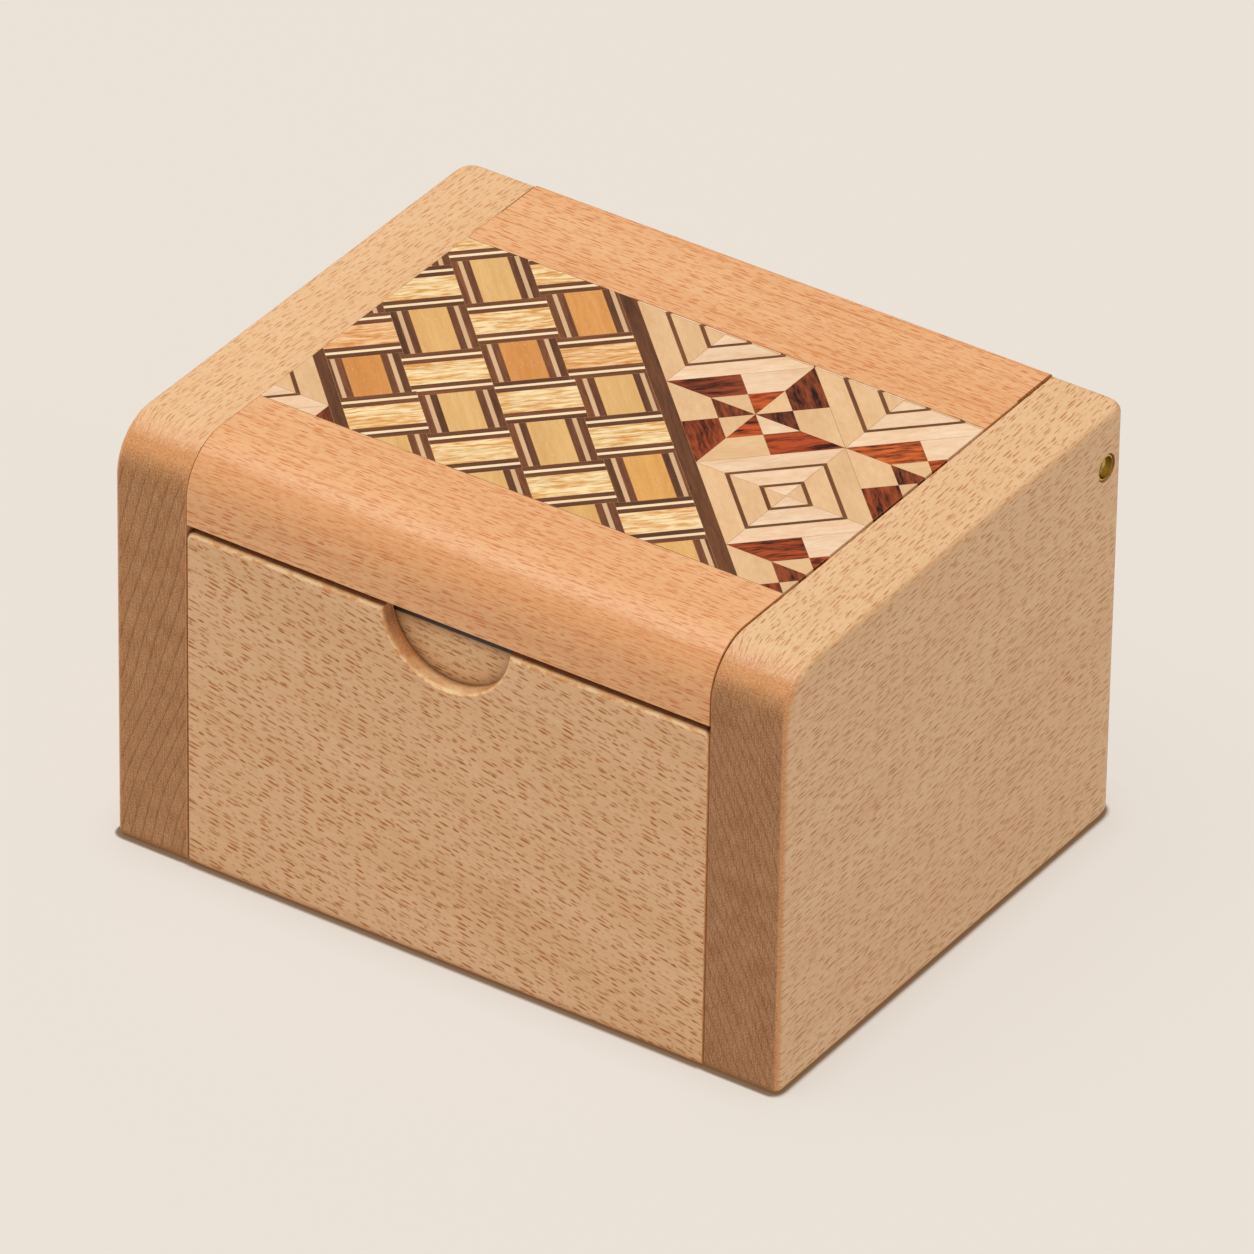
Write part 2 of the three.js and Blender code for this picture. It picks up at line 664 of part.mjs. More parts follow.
// Drops points that lie on the one before.
function tidied(outline) {
  return outline.filter(([u, v], i) => {
    const [lastU, lastV] = outline[(i + outline.length - 1) % outline.length];
    return Math.hypot(u - lastU, v - lastV) > 1e-6;
  });
}

function areaOf(outline) {
  return THREE.ShapeUtils.area(toVectors(outline));
}

// Draws a counter-clockwise convex outline in by a distance on every side.
function drawnIn(outline, distance) {
  const edges = outline.map(([u, v], i) => {
    const [nextU, nextV] = outline[(i + 1) % outline.length];
    const length = Math.hypot(nextU - u, nextV - v);
    const normal = [(nextV - v) / length, -(nextU - u) / length];
    return { normal, reach: u * normal[0] + v * normal[1] - distance };
  });
  return tidied(edges.reduce((kept, edge) => clip(kept, edge), outline));
}

// The part of an outline that lies on the lid, counter-clockwise.
function onLid(outline) {
  const counterClockwise = areaOf(outline) < 0 ? [...outline].reverse() : outline;
  return tidied(inlayEdges.reduce((kept, edge) => clip(kept, edge), counterClockwise));
}

function isWorthCutting(outline) {
  return outline.length > 2 && areaOf(outline) > SMALLEST_PIECE;
}

// A glued-up sheet: its pieces of veneer stand on one ground, parted by fine scored joints.
function sheet(outline, pieces) {
  const scoreFloor = LID_THICKNESS - SCORE_DEPTH;
  const ground = slab(drawnIn(onLid(outline), GLUE_LINE / 2), LID_THICKNESS - INLAY_THICKNESS, scoreFloor);
  const veneers = pieces
    .map(onLid)
    .filter(isWorthCutting)
    .map((piece) => drawnIn(piece, SCORE_WIDTH / 2))
    .filter(isWorthCutting)
    .map((piece) => slab(piece, scoreFloor - SCORE_DEPTH, LID_THICKNESS));
  return join(ground, [mergeGeometries(veneers)]);
}

function rectangle(u0, u1, v0, v1) {
  return [
    [u0, v0],
    [u1, v0],
    [u1, v1],
    [u0, v1],
  ];
}

// How far the inlay reaches along either diagonal from the lid's middle.
const diagonalReach = (inlayEnd + INLAY_DEPTH / 2) * diagonal;

// One square of the weave: a splint with an edging along two of its sides.
function weaveSquare(u, v, upright) {
  const across = (near, far) =>
    upright
      ? rectangle(u + near, u + far, v, v + WEAVE_PITCH)
      : rectangle(u, u + WEAVE_PITCH, v + near, v + far);
  const splintEnd = WEAVE_PITCH - WEAVE_EDGING;
  return [across(0, WEAVE_EDGING), across(WEAVE_EDGING, splintEnd), across(splintEnd, WEAVE_PITCH)];
}

// A basket weave, in which the splints run each way by turns.
function weave() {
  const pieces = [];
  const columnsEachWay = Math.ceil((diagonalReach + Math.abs(WEAVE_COLUMN_START)) / WEAVE_PITCH);
  for (let row = 0; row < WEAVE_ROWS; row += 1) {
    for (let column = -columnsEachWay; column < columnsEachWay; column += 1) {
      const u = WEAVE_COLUMN_START + column * WEAVE_PITCH;
      const v = WEAVE_TOP - (row + 1) * WEAVE_PITCH;
      pieces.push(...weaveSquare(u, v, (row + column) % 2 === 0));
    }
  }
  return pieces;
}

// The four quarters of a tile. place turns a point, given to the left and outwards as seen from
// the tile's middle, into the pattern's u and v.
const quarters = [0, 1, 2, 3].map((turn) => {
  const out = [Math.round(Math.sin((turn * Math.PI) / 2)), Math.round(Math.cos((turn * Math.PI) / 2))];
  const left = [-out[1], out[0]];
  return (u, v) => ([l, o]) => [u + left[0] * l + out[0] * o, v + left[1] * l + out[1] * o];
});

// Nested squares, mitred at their corners.
function squaresTile(u, v) {
  const outer = TILE_SIZE / 2;
  const middle = OUTER_SQUARE / 2;
  const inner = INNER_SQUARE / 2;
  const mitred = (far, near) => [[-far, far], [far, far], [near, near], [-near, near]];
  const wedges = [mitred(outer, middle), mitred(middle, inner), [[-inner, inner], [inner, inner], [0, 0]]];
  return quarters.flatMap((place) => wedges.map((outline) => outline.map(place(u, v))));
}

// A pinwheel: each quarter is four pieces, dark and light set crosswise.
function pinwheelTile(u, v) {
  const full = TILE_SIZE / 2;
  const half = full / 2;
  const quarter = [1, -1].flatMap((hand) => [
    [[hand * half, half], [0, half], [0, full], [hand * full, full]],
    [[0, 0], [0, half], [hand * half, half]],
  ]);
  return quarters.flatMap((place) => quarter.map((outline) => outline.map(place(u, v))));
}

// Rows of the two tiles by turns, from a straight edge away from the weave.
function tiles(edge, direction, columnCentre) {
  const pieces = [];
  const rows = Math.ceil((diagonalReach + Math.abs(edge)) / TILE_SIZE);
  const columnsEachWay = Math.ceil((diagonalReach + Math.abs(columnCentre)) / TILE_SIZE);
  for (let row = 0; row < rows; row += 1) {
    for (let column = -columnsEachWay; column <= columnsEachWay; column += 1) {
      const u = columnCentre + column * TILE_SIZE;
      const v = edge + direction * (row + 0.5) * TILE_SIZE;
      pieces.push(...((row + column) % 2 === 0 ? squaresTile(u, v) : pinwheelTile(u, v)));
    }
  }
  return pieces;
}

const weaveBottom = WEAVE_TOP - WEAVE_ROWS * WEAVE_PITCH;
const rightEdge = WEAVE_TOP + WIDE_BAND;
const leftEdge = weaveBottom - NARROW_BAND;
const zone = (v0, v1) => rectangle(-diagonalReach, diagonalReach, v0, v1);

// ---------------------------------------------------------------- the box

const box = new THREE.Group();

const carcass = new THREE.Group();
box.add(carcass);
const rightSide = sideBoardRight();
addPiece(carcass, 'side_board_right', rightSide, wood('beech'));
addPiece(carcass, 'side_board_left', mirrored(rightSide), wood('beech'));
addPiece(carcass, 'bottom_board', bottomBoard(), wood('beech'));
addPiece(carcass, 'back_board', uprightBoard(backFront, halfDepth, backTop), wood('beech'));
addPiece(carcass, 'inner_front_board', innerFrontBoard(), wood('beech'));
addPiece(carcass, 'lock_channel', lockChannel(), wood('beech'));
addPiece(carcass, 'panel_stop_pin', stopPin(), wood('beech'));
addPiece(carcass, 'hinge_pin_left', hingePin(-1), brass());
addPiece(carcass, 'hinge_pin_right', hingePin(1), brass());

const panel = new THREE.Group();
box.add(panel);
addPiece(panel, 'front_panel', frontPanel(), wood('beech'));
addPiece(panel, 'panel_key_left', panelKey(-1), wood('beech'));
addPiece(panel, 'panel_key_right', panelKey(1), wood('beech'));

const lock = new THREE.Group();
box.add(lock);
addPiece(lock, 'lock_bar', lockBar(), wood('beech'));
addPiece(lock, 'finger_stud', fingerStud(), wood('walnut'));

const lid = new THREE.Group();
lid.position.z = lidBottom;
box.add(lid);
addPiece(lid, 'lid_board', lidBoard(), wood('pinkBeech'));
addPiece(lid, 'lid_catch', lidCatch(), brass());
const [frontScrew, backScrew] = screwPlaces();
addPiece(lid, 'catch_screw_front', catchScrew(frontScrew), brass());
addPiece(lid, 'catch_screw_back', catchScrew(backScrew), brass());

const inlay = new THREE.Group();
inlay.rotation.z = -Math.PI / 4;
lid.add(inlay);
addPiece(inlay, 'weave_sheet', sheet(zone(weaveBottom, WEAVE_TOP), weave()), wood('ash'));
const rightTiles = tiles(rightEdge, 1, TILE_COLUMN_CENTRE);
addPiece(inlay, 'tile_sheet_right', sheet(zone(rightEdge, diagonalReach), rightTiles), wood('maple'));
const leftTiles = tiles(leftEdge, -1, LOW_TILE_COLUMN_CENTRE);
addPiece(inlay, 'tile_sheet_left', sheet(zone(-diagonalReach, leftEdge), leftTiles), wood('maple'));
const rightBand = zone(WEAVE_TOP, rightEdge);
addPiece(inlay, 'divider_band_right', sheet(rightBand, [rightBand]), wood('walnut'));
const leftBand = zone(leftEdge, weaveBottom);
addPiece(inlay, 'divider_band_left', sheet(leftBand, [leftBand]), wood('walnut'));

export default box;
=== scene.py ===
# %% [markdown]
# # A wooden puzzle box
#
# A small beech box with a hinged lid and a drop-down front panel. Two thick side boards carry
# everything. The lid is let in between them and turns on two brass pins, and its top holds a
# strip of marquetry, a glued-up pattern of small coloured woods.
#
# The boards' sizes and places come from the packed model, which is loaded first. It moves with
# the joints, and the pieces made here ride on it.

# %% Load the packed model
import math

import bmesh
import bpy
from mathutils import Matrix, Vector


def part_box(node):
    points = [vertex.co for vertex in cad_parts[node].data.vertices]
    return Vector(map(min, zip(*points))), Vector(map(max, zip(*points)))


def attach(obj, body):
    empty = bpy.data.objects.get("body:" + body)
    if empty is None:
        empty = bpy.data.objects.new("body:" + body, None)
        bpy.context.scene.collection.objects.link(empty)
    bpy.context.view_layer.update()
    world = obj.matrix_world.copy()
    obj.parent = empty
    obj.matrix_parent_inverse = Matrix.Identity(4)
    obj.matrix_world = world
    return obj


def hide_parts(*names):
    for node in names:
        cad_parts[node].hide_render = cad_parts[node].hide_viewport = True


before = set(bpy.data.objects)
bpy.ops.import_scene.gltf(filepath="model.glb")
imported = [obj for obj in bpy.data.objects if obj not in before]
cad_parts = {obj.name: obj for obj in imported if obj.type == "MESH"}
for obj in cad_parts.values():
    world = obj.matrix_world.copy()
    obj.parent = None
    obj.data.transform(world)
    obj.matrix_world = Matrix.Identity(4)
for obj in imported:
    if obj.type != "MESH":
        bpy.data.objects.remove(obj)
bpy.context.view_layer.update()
MM = 0.001

# %% [markdown]
# ## The camera, the light and the table
#
# The camera stands well back with a long lens, so that the box's edges stay nearly parallel. It
# is placed by the directions that it looks and leans in, built up from three angles.

# %% The camera
def look_along(turn, tilt, lean):
    """A camera's own axes for a turn about Z, a tilt down and a lean about its own line of sight."""
    ahead = Vector((-math.sin(turn) * math.cos(tilt), math.cos(turn) * math.cos(tilt), -math.sin(tilt)))
    level = Vector((math.cos(turn), math.sin(turn), 0))
    upright = level.cross(ahead)
    right = math.cos(lean) * level + math.sin(lean) * upright
    above = -math.sin(lean) * level + math.cos(lean) * upright
    return Matrix((right, above, -ahead)).transposed().to_4x4()


camera = bpy.data.objects.new("camera", bpy.data.cameras.new("camera"))
camera.data.lens = 403.75
camera.data.sensor_width = 36
camera.data.clip_start = 0.1
camera.data.clip_end = 50
turn, tilt, lean = (math.radians(degrees) for degrees in (33.456, 33.501, 0.914))
camera.matrix_world = look_along(turn, tilt, lean)
camera.location = (0.8928, -1.3491, 1.1032)
bpy.context.collection.objects.link(camera)
bpy.context.scene.camera = camera
bpy.context.scene.view_settings.view_transform = "Standard"
print("camera at", [round(v, 3) for v in camera.location])

# %% [markdown]
# Small wooden goods are usually lit softly. One large lamp hangs overhead and the pale
# surroundings fill the shadows. A small lamp at the side is there for the shine of round edges.

# %% The world and the lamps
WARM_WHITE = (1, 0.985, 0.965)
world = bpy.data.worlds.new("pale_room")
world.use_nodes = True
background = world.node_tree.nodes["Background"]
background.inputs["Color"].default_value = (*WARM_WHITE, 1)
background.inputs["Strength"].default_value = 0.41
bpy.context.scene.world = world


def soft_lamp(name, place, aim, width, power):
    """A square lamp at a place, turned to face a point."""
    lamp = bpy.data.objects.new(name, bpy.data.lights.new(name, "AREA"))
    lamp.data.shape = "SQUARE"
    lamp.data.size = width
    lamp.data.energy = power
    lamp.data.color = WARM_WHITE
    lamp.location = place
    lamp.rotation_euler = (Vector(aim) - Vector(place)).to_track_quat("-Z", "Y").to_euler()
    bpy.context.collection.objects.link(lamp)


soft_lamp("overhead_lamp", (-0.25, -0.25, 1.5), (0, 0, 0.03), 1.1, 16)
soft_lamp("side_glint_lamp", (1.23, 0.08, 0.9), (0, 0, 0.05), 0.12, 1.2)

# %% [markdown]
# ## A way to write down surfaces
#
# A surface here is a recipe: numbers that vary over the piece, such as how far a point is from
# the nearest fleck, are added and multiplied until they give a colour, a roughness and a bump.
# Blender does such sums with nodes. A value here stands for what comes out of one socket, and
# adding two of them makes the node and its links, so that sums can be written as plain expressions.

# %% Sums on sockets
def signs(operation):
    """One sign of arithmetic in both its forms: with the value on the left, and with it on the right."""
    forward = lambda value, other: value.sum_with(operation, value, other)
    reflected = lambda value, other: value.sum_with(operation, other, value)
    return forward, reflected


class Value:
    """What comes out of one socket: a number, a vector or a colour that varies over the piece."""

    __add__, __radd__ = signs("ADD")
    __sub__, __rsub__ = signs("SUBTRACT")
    __mul__, __rmul__ = signs("MULTIPLY")
    __truediv__, __rtruediv__ = signs("DIVIDE")
    __pow__, __rpow__ = signs("POWER")

    def __init__(self, recipe, socket):
        self.recipe = recipe
        self.socket = socket

    def sum_with(self, operation, *parts, clamped=False):
        settings = {"operation": operation, "use_clamp": clamped}
        return self.recipe.node("ShaderNodeMath", settings, dict(enumerate(parts)))

    def held(self):
        """The number, held between 0 and 1."""
        return self.sum_with("MULTIPLY", self, 1.0, clamped=True)

    def step(self, low, high):
        """0 below low and 1 above high, with an even slope between."""
        return ((self - low) / (high - low)).held()

print("a value can:", [name for name in vars(Value) if not name.startswith("_")])

# %% [markdown]
# The recipe is the material itself. It has one method that makes any node, and short ones for the
# steps that most surfaces share, such as mixing two colours or finding how open a point is.

# %% Recipes and paint
class Recipe:
    """A material, and one method that makes any node in it."""

    def __init__(self, name):
        self.material = bpy.data.materials.new(name)
        self.material.use_nodes = True
        self.tree = self.material.node_tree
        self.tree.nodes.clear()

    def node(self, kind, settings=None, inputs=None, take=0):
        made = self.tree.nodes.new(kind)
        for setting, value in (settings or {}).items():
            setattr(made, setting, value)
        for place, value in (inputs or {}).items():
            socket = made.inputs[place]
            if isinstance(value, Value):
                self.tree.links.new(value.socket, socket)
            else:
                socket.default_value = value
        return Value(self, made.outputs[take])

    def also(self, value, take):
        """Another output of the node that a value came from."""
        return Value(self, value.socket.node.outputs[take])

    def mix(self, share, first, second, blend="MIX"):
        """Two colours mixed by a share."""
        settings = {"data_type": "RGBA", "blend_type": blend}
        return self.node("ShaderNodeMix", settings, {0: share, 6: first, 7: second}, take=2)

    def vector(self, operation, first, second):
        return self.node("ShaderNodeVectorMath", {"operation": operation}, {0: first, 1: second})

    def noise(self, place, scale, detail=2.0, roughness=0.5, take=0):
        """Cloudy noise between 0 and 1, with a scale for each direction in blotches per metre."""
        spot = self.vector("MULTIPLY", place, scale)
        inputs = {"Vector": spot, "Scale": 1.0, "Detail": detail, "Roughness": roughness}
        return self.node("ShaderNodeTexNoise", {}, inputs, take=take)

    def wandering(self, place, scale, reach):
        """A place that strays across the grain by up to half a reach in metres."""
        drift = self.vector("SUBTRACT", self.noise(place, scale, take="Color"), (0.5, 0.5, 0.5))
        return self.vector("ADD", place, self.vector("MULTIPLY", drift, (0.0, reach, 0.0)))

    def attribute(self, name, take="Fac"):
        return self.node("ShaderNodeAttribute", {"attribute_name": name}, {}, take=take)

    def openness(self, reach, samples, **others):
        """How open a point is to what lies within a reach in metres: 1 in the open, less in a corner."""
        inputs = {"Distance": reach, **others}
        return self.node("ShaderNodeAmbientOcclusion", {"samples": samples}, inputs, take="AO")

    def solid(self, colour, roughness, height, depth, **shine):
        """A solid surface with a bump. The height is in metres when the depth is 1."""
        bump = self.node("ShaderNodeBump", {}, {"Height": height, "Distance": depth, "Strength": 1.0})
        inputs = {"Base Color": colour, "Roughness": roughness, "Normal": bump}
        inputs.update({name.replace("_", " "): value for name, value in shine.items()})
        return self.finish(self.node("ShaderNodeBsdfPrincipled", {}, inputs))

    def finish(self, shader):
        """Wires a shader to the material's output, and gives the material."""
        out = self.tree.nodes.new("ShaderNodeOutputMaterial")
        self.tree.links.new(shader.socket, out.inputs["Surface"])
        return self.material


def paint(red, green, blue):
    """A colour from the 0 to 255 numbers of a colour chart, in the linear light that shaders use."""
    chart = [v / 255 for v in (red, green, blue)]
    linear = [v / 12.92 if v <= 0.04045 else ((v + 0.055) / 1.055) ** 2.4 for v in chart]
    return (*linear, 1)

print("a recipe can:", [name for name in vars(Recipe) if not name.startswith("_")])

# %% [markdown]
# The table is one pale plane. It turns darker where the box stands on it, in a narrow line and
# in a wide faint shade, by how open each point is.

# %% The table
def table_surface():
    """A pale table that glows a little, as a light table does, so that shadows on it stay faint."""
    recipe = Recipe("pale_table")
    pale = paint(235, 226, 216)
    # The light comes more from the right, so the dark line by the box is narrower there.
    leaning = recipe.node("ShaderNodeCombineXYZ", {}, {0: 0.45, 2: 0.89})
    glow = recipe.mix((1 - recipe.openness(0.007, 4)) * 0.35, pale, paint(192, 162, 130))
    close_by = recipe.openness(0.0012, 16, Normal=leaning)
    glow = recipe.mix(close_by.step(0.8, 0.98), paint(116, 84, 54), glow)
    light = recipe.node("ShaderNodeEmission", {}, {"Color": glow, "Strength": 1.0})
    matt = recipe.node("ShaderNodeBsdfDiffuse", {}, {"Color": pale})
    return recipe.finish(recipe.node("ShaderNodeMixShader", {}, {0: 0.12, 1: light, 2: matt}))


bpy.ops.object.select_all(action="DESELECT")
bpy.ops.mesh.primitive_plane_add(size=8, location=(0, 0, 0))
table = bpy.context.object
table.name = "table"
table.data.materials.append(table_surface())
print("table:", table.dimensions[:2])

# %% [markdown]
# ## The tools
#
# A maker saws a blank, rounds its edges and bores its holes. These helpers do the same in edit
# mode. Each one first deselects everything, because an operator acts on all that is selected,
# and then picks edges or faces by where they lie.

# %% Picking and shaping
def take_up(piece):
    """Makes a piece the only one selected, in object mode."""
    bpy.ops.object.select_all(action="DESELECT")
    piece.select_set(True)
    bpy.context.view_layer.objects.active = piece


def as_made(name):
    """Names what was just added, and makes its place, turn and size a part of its mesh."""
    piece = bpy.context.object
    piece.name = piece.data.name = name
    bpy.ops.object.transform_apply(location=True, rotation=True, scale=True)
    return piece


def sawn_blank(name, low, high):
    """A block between two corners, given in millimetres."""
    low, high = Vector(low) * MM, Vector(high) * MM
    bpy.ops.object.select_all(action="DESELECT")
    bpy.ops.mesh.primitive_cube_add(size=1, location=(low + high) / 2, scale=high - low)
    return as_made(name)


def turned_rod(name, radius, start, end, sides=64):
    """A round rod between two points that share two of their coordinates, in millimetres."""
    start, end = Vector(start) * MM, Vector(end) * MM
    way = end - start
    turn = way.to_track_quat("Z", "Y").to_euler()
    bpy.ops.object.select_all(action="DESELECT")
    bpy.ops.mesh.primitive_cylinder_add(
        vertices=sides, radius=radius * MM, depth=way.length, location=(start + end) / 2, rotation=turn
    )
    return as_made(name)


def start_shaping(piece, mode):
    take_up(piece)
    bpy.ops.object.mode_set(mode="EDIT")
    bpy.ops.mesh.select_mode(type=mode)
    bpy.ops.mesh.select_all(action="DESELECT")


def stop_shaping():
    bpy.ops.object.mode_set(mode="OBJECT")


def pick(piece, mode, test):
    """In edit mode, selects the edges or faces whose test is true. It is given the middle, and an
    edge's direction or a face's normal, with lengths in millimetres."""
    bpy.ops.mesh.select_all(action="DESELECT")
    mesh = bmesh.from_edit_mesh(piece.data)
    count = 0
    for part in mesh.edges if mode == "EDGE" else mesh.faces:
        ends = [v.co for v in part.verts]
        middle = sum(ends, Vector()) / len(ends) / MM
        if mode == "EDGE":
            way = (ends[1] - ends[0]).normalized()
        else:
            way = part.normal
        if test(middle, way):
            part.select_set(True)
            count += 1
    bmesh.update_edit_mesh(piece.data)
    return count


def round_over(piece, radius, test, steps, fullness=0.5):
    """Rounds the edges that a test picks, as with a router bit of that radius. A fullness above 0.5
    leaves more wood on."""
    start_shaping(piece, "EDGE")
    pick(piece, "EDGE", test)
    bpy.ops.mesh.bevel(offset=radius * MM, segments=steps, profile=fullness, affect="EDGES")
    stop_shaping()


def near(value, target, slack=0.02):
    return abs(value - target) < slack


def apply_change(piece, kind, **settings):
    """Adds a modifier of a kind, sets it up and applies it."""
    take_up(piece)
    change = piece.modifiers.new(kind.lower(), kind)
    for setting, value in settings.items():
        setattr(change, setting, value)
    bpy.ops.object.modifier_apply(modifier=change.name)


def cut_away(piece, tool):
    """Takes a tool's shape out of a piece, and puts the tool away."""
    apply_change(piece, "BOOLEAN", operation="DIFFERENCE", solver="EXACT", object=tool)
    bpy.data.objects.remove(tool)


def saw_out(piece, low, high):
    cut_away(piece, sawn_blank("sawn_out", low, high))


def bore(piece, radius, start, end, sides=64):
    cut_away(piece, turned_rod("drill", radius, start, end, sides))


print("shaping tools:", [tool.__name__ for tool in (sawn_blank, turned_rod, round_over, saw_out, bore)])

# %% [markdown]
# The grain has to follow each board, and run on over its rounded edges. So once a board is
# sanded, the corners of its faces are marked with three numbers: how far round the board they
# lie, how far they show end grain and how far they are rounded.

# %% Sanding, and marking the grain
ALONG_X, ALONG_Y = 0, 1
SHARPEST_ROUND = math.radians(32)


def write_corners(mesh, name, values, kind="FLOAT", field="value"):
    """Writes one value for each corner of the faces, as a named attribute."""
    mesh.attributes.new(name, kind, "CORNER").data.foreach_set(field, values)


def girth_of(spot, normal, low, high):
    """How far round a board a point lies, as if a strip of paper were wrapped about it, in metres.
    Across and up are the two ways that aren't along the grain."""
    across, up = spot[0] - low[0], high[1] - spot[1]
    width, thick = high[0] - low[0], high[1] - low[1]
    right, upper = across > width / 2, up < thick / 2
    if normal[1] < -0.7:
        return across * (width + 2 * thick) / width - thick
    if upper:
        return across + up if right else across - up
    return width + up + (width - across) if right else -up - across


def mark_grain(piece, grain):
    mesh = piece.data
    side = 1 if grain == ALONG_X else 0
    spots = [(v.co[side], v.co.z) for v in mesh.vertices]
    low, high = [min(s[i] for s in spots) for i in (0, 1)], [max(s[i] for s in spots) for i in (0, 1)]
    girths = [0.0] * len(mesh.loops)
    for face in mesh.polygons:
        for corner in face.loop_indices:
            spot = spots[mesh.loops[corner].vertex_index]
            girths[corner] = girth_of(spot, (face.normal[side], face.normal.z), low, high)
    write_corners(mesh, "girth", girths)
    sizes = [[abs(v) for v in normal.vector] for normal in mesh.corner_normals]
    write_corners(mesh, "end_grain", [size[grain] for size in sizes])
    write_corners(mesh, "rounded", [1 - max(size) for size in sizes])


def sanded(piece, grain=None):
    """Shades the rounds smoothly and keeps the flats flat, and marks the grain where it has one."""
    take_up(piece)
    bpy.ops.object.shade_smooth_by_angle(angle=SHARPEST_ROUND)
    apply_change(piece, "WEIGHTED_NORMAL", keep_sharp=True, weight=100)
    if grain is not None:
        mark_grain(piece, grain)
    return piece


def take_finish(piece, body, node, slot, *surfaces):
    """Sets a finished piece up: its surfaces, the body that it rides on and what it stands for."""
    for surface in surfaces:
        piece.data.materials.append(surface)
    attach(piece, body)
    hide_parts(node)
    print(piece.name, "faces:", len(piece.data.polygons))


print("finishing tools:", [tool.__name__ for tool in (sanded, mark_grain, take_finish)])

# %% [markdown]
# ## Beech
#
# Beech is known by its flecks: short dashes a millimetre or two long, where the rays of the wood
# come to the surface. They run with the grain. Here they are drawn on each board as if it were
# unrolled: one way is along the grain and the other is round the board. A Voronoi pattern gives
# each dash a cell of its own, and the place in the cell gives it a spindle's shape.
#
# A face across the grain looks quite different: darker, with fine growth rings. The marks left on
# the corners of the faces say where that is.

# %% Flecks and rings
def split_by_grain(recipe, grain, shift):
    """How far a point is along the grain, how high it is and how far across it is."""
    place = recipe.node("ShaderNodeTexCoord", take="Object")
    place = recipe.vector("ADD", place, [v * MM for v in shift])
    split = recipe.node("ShaderNodeSeparateXYZ", {}, {0: place})
    x, y, z = (recipe.also(split, number) for number in range(3))
    return {ALONG_X: (x, z, y), ALONG_Y: (y, z, x)}[grain]


def flecks(recipe, spot, length, width, gap=2.6):
    """Spindle-shaped dashes of a length and a width in millimetres, from 0 between them to 1.
    The gap is the height of each one's own strip of wood, in widths."""
    cell = recipe.vector("MULTIPLY", spot, (1000 / (length * 1.3), 1000 / (width * gap), 0))
    pattern = {"voronoi_dimensions": "2D", "feature": "F1", "distance": "MANHATTAN"}
    inputs = {"Vector": cell, "Scale": 1.0, "Randomness": 0.82}
    middle = recipe.node("ShaderNodeTexVoronoi", pattern, inputs, take="Position")
    luck = recipe.node("ShaderNodeSeparateColor", {}, {0: recipe.also(middle, "Color")})
    away = recipe.node("ShaderNodeSeparateXYZ", {}, {0: recipe.vector("SUBTRACT", cell, middle)})
    lengthwise = away / (luck * 0.24 + 0.2)
    crosswise = recipe.also(away, 1) / (recipe.also(luck, 2) * 0.12 + 0.42 / gap)
    taper = (1 - lengthwise * lengthwise).held()
    inside = taper * taper - crosswise * crosswise
    return (inside * 2.2).held() * (recipe.also(luck, 1) * 0.55 + 0.45)


def end_rings(recipe, grained, height, depth, lean, gap):
    """Growth rings across the end of a board: dark lines at a lean in degrees and a gap in mm."""
    turn = math.radians(lean)
    bow = recipe.noise(grained, (0, 38, 38), detail=1)
    shake = recipe.noise(grained, (0, 900, 900), detail=1)
    place = (depth * math.cos(turn) + height * math.sin(turn)) / (gap * MM) + bow * 2.6 + shake * 0.12
    saw_tooth = recipe.node("ShaderNodeMath", {"operation": "FRACT"}, {0: place})
    return saw_tooth ** 11.0

print("drawn on the grain:", [step.__name__ for step in (flecks, end_rings)])

# %% [markdown]
# The panel's eased edges and notch wall are painted pale and blotchy, a painted highlight. Where
# one piece lies close under another the wood is painted darker, as painted shade, and the panel's
# top edge turns near black under the lid, a painted shadow. The board behind the panel gets painted
# shade too, and a painted shadow line at the height where the shut lid hides it.

# %% Edges, shade and ends
PANEL_SHADE = (50.5, 51.5)  # the heights between which the panel's top edge turns dark under the lid, a painted shadow
LID_SHADOW_LINE = 53.0  # the height up to which the inner board shows below the lid, where a painted shadow line lies
BOARD_FRONT = -39.7  # where the inner board's front face is


def panel_edge_highlight_and_shade(recipe, colour, grained, height, shift):
    facing = recipe.attribute("facing")
    blotch = recipe.noise(grained, (500, 900, 900), detail=3, roughness=0.6)
    # Painted highlight: the eased top edge and the notch wall are painted cream, as if lit.
    highlight_cream = recipe.mix(blotch.step(0.42, 0.62) * 0.6, paint(255, 222, 170), paint(232, 162, 92))
    colour = recipe.mix(1 - facing.step(0.9, 0.9985), colour, highlight_cream)
    rim = facing.step(0.72, 0.93) * (1 - facing.step(0.99, 0.9999)) * blotch.step(0.47, 0.6)
    colour = recipe.mix(rim * 0.6, colour, paint(212, 130, 62))
    # Painted shade where another piece lies close, and a near-black painted shadow on the top edge under the
    # lid.
    closed = 1 - recipe.openness(0.0013, 4)
    colour = recipe.mix(closed.step(0.14, 0.32), colour, paint(176, 100, 38))
    under_lid_shadow = height.step(*((z + shift[2]) * MM for z in PANEL_SHADE))
    return recipe.mix(closed.step(0.38, 0.5) * under_lid_shadow, colour, paint(14, 2, 0))


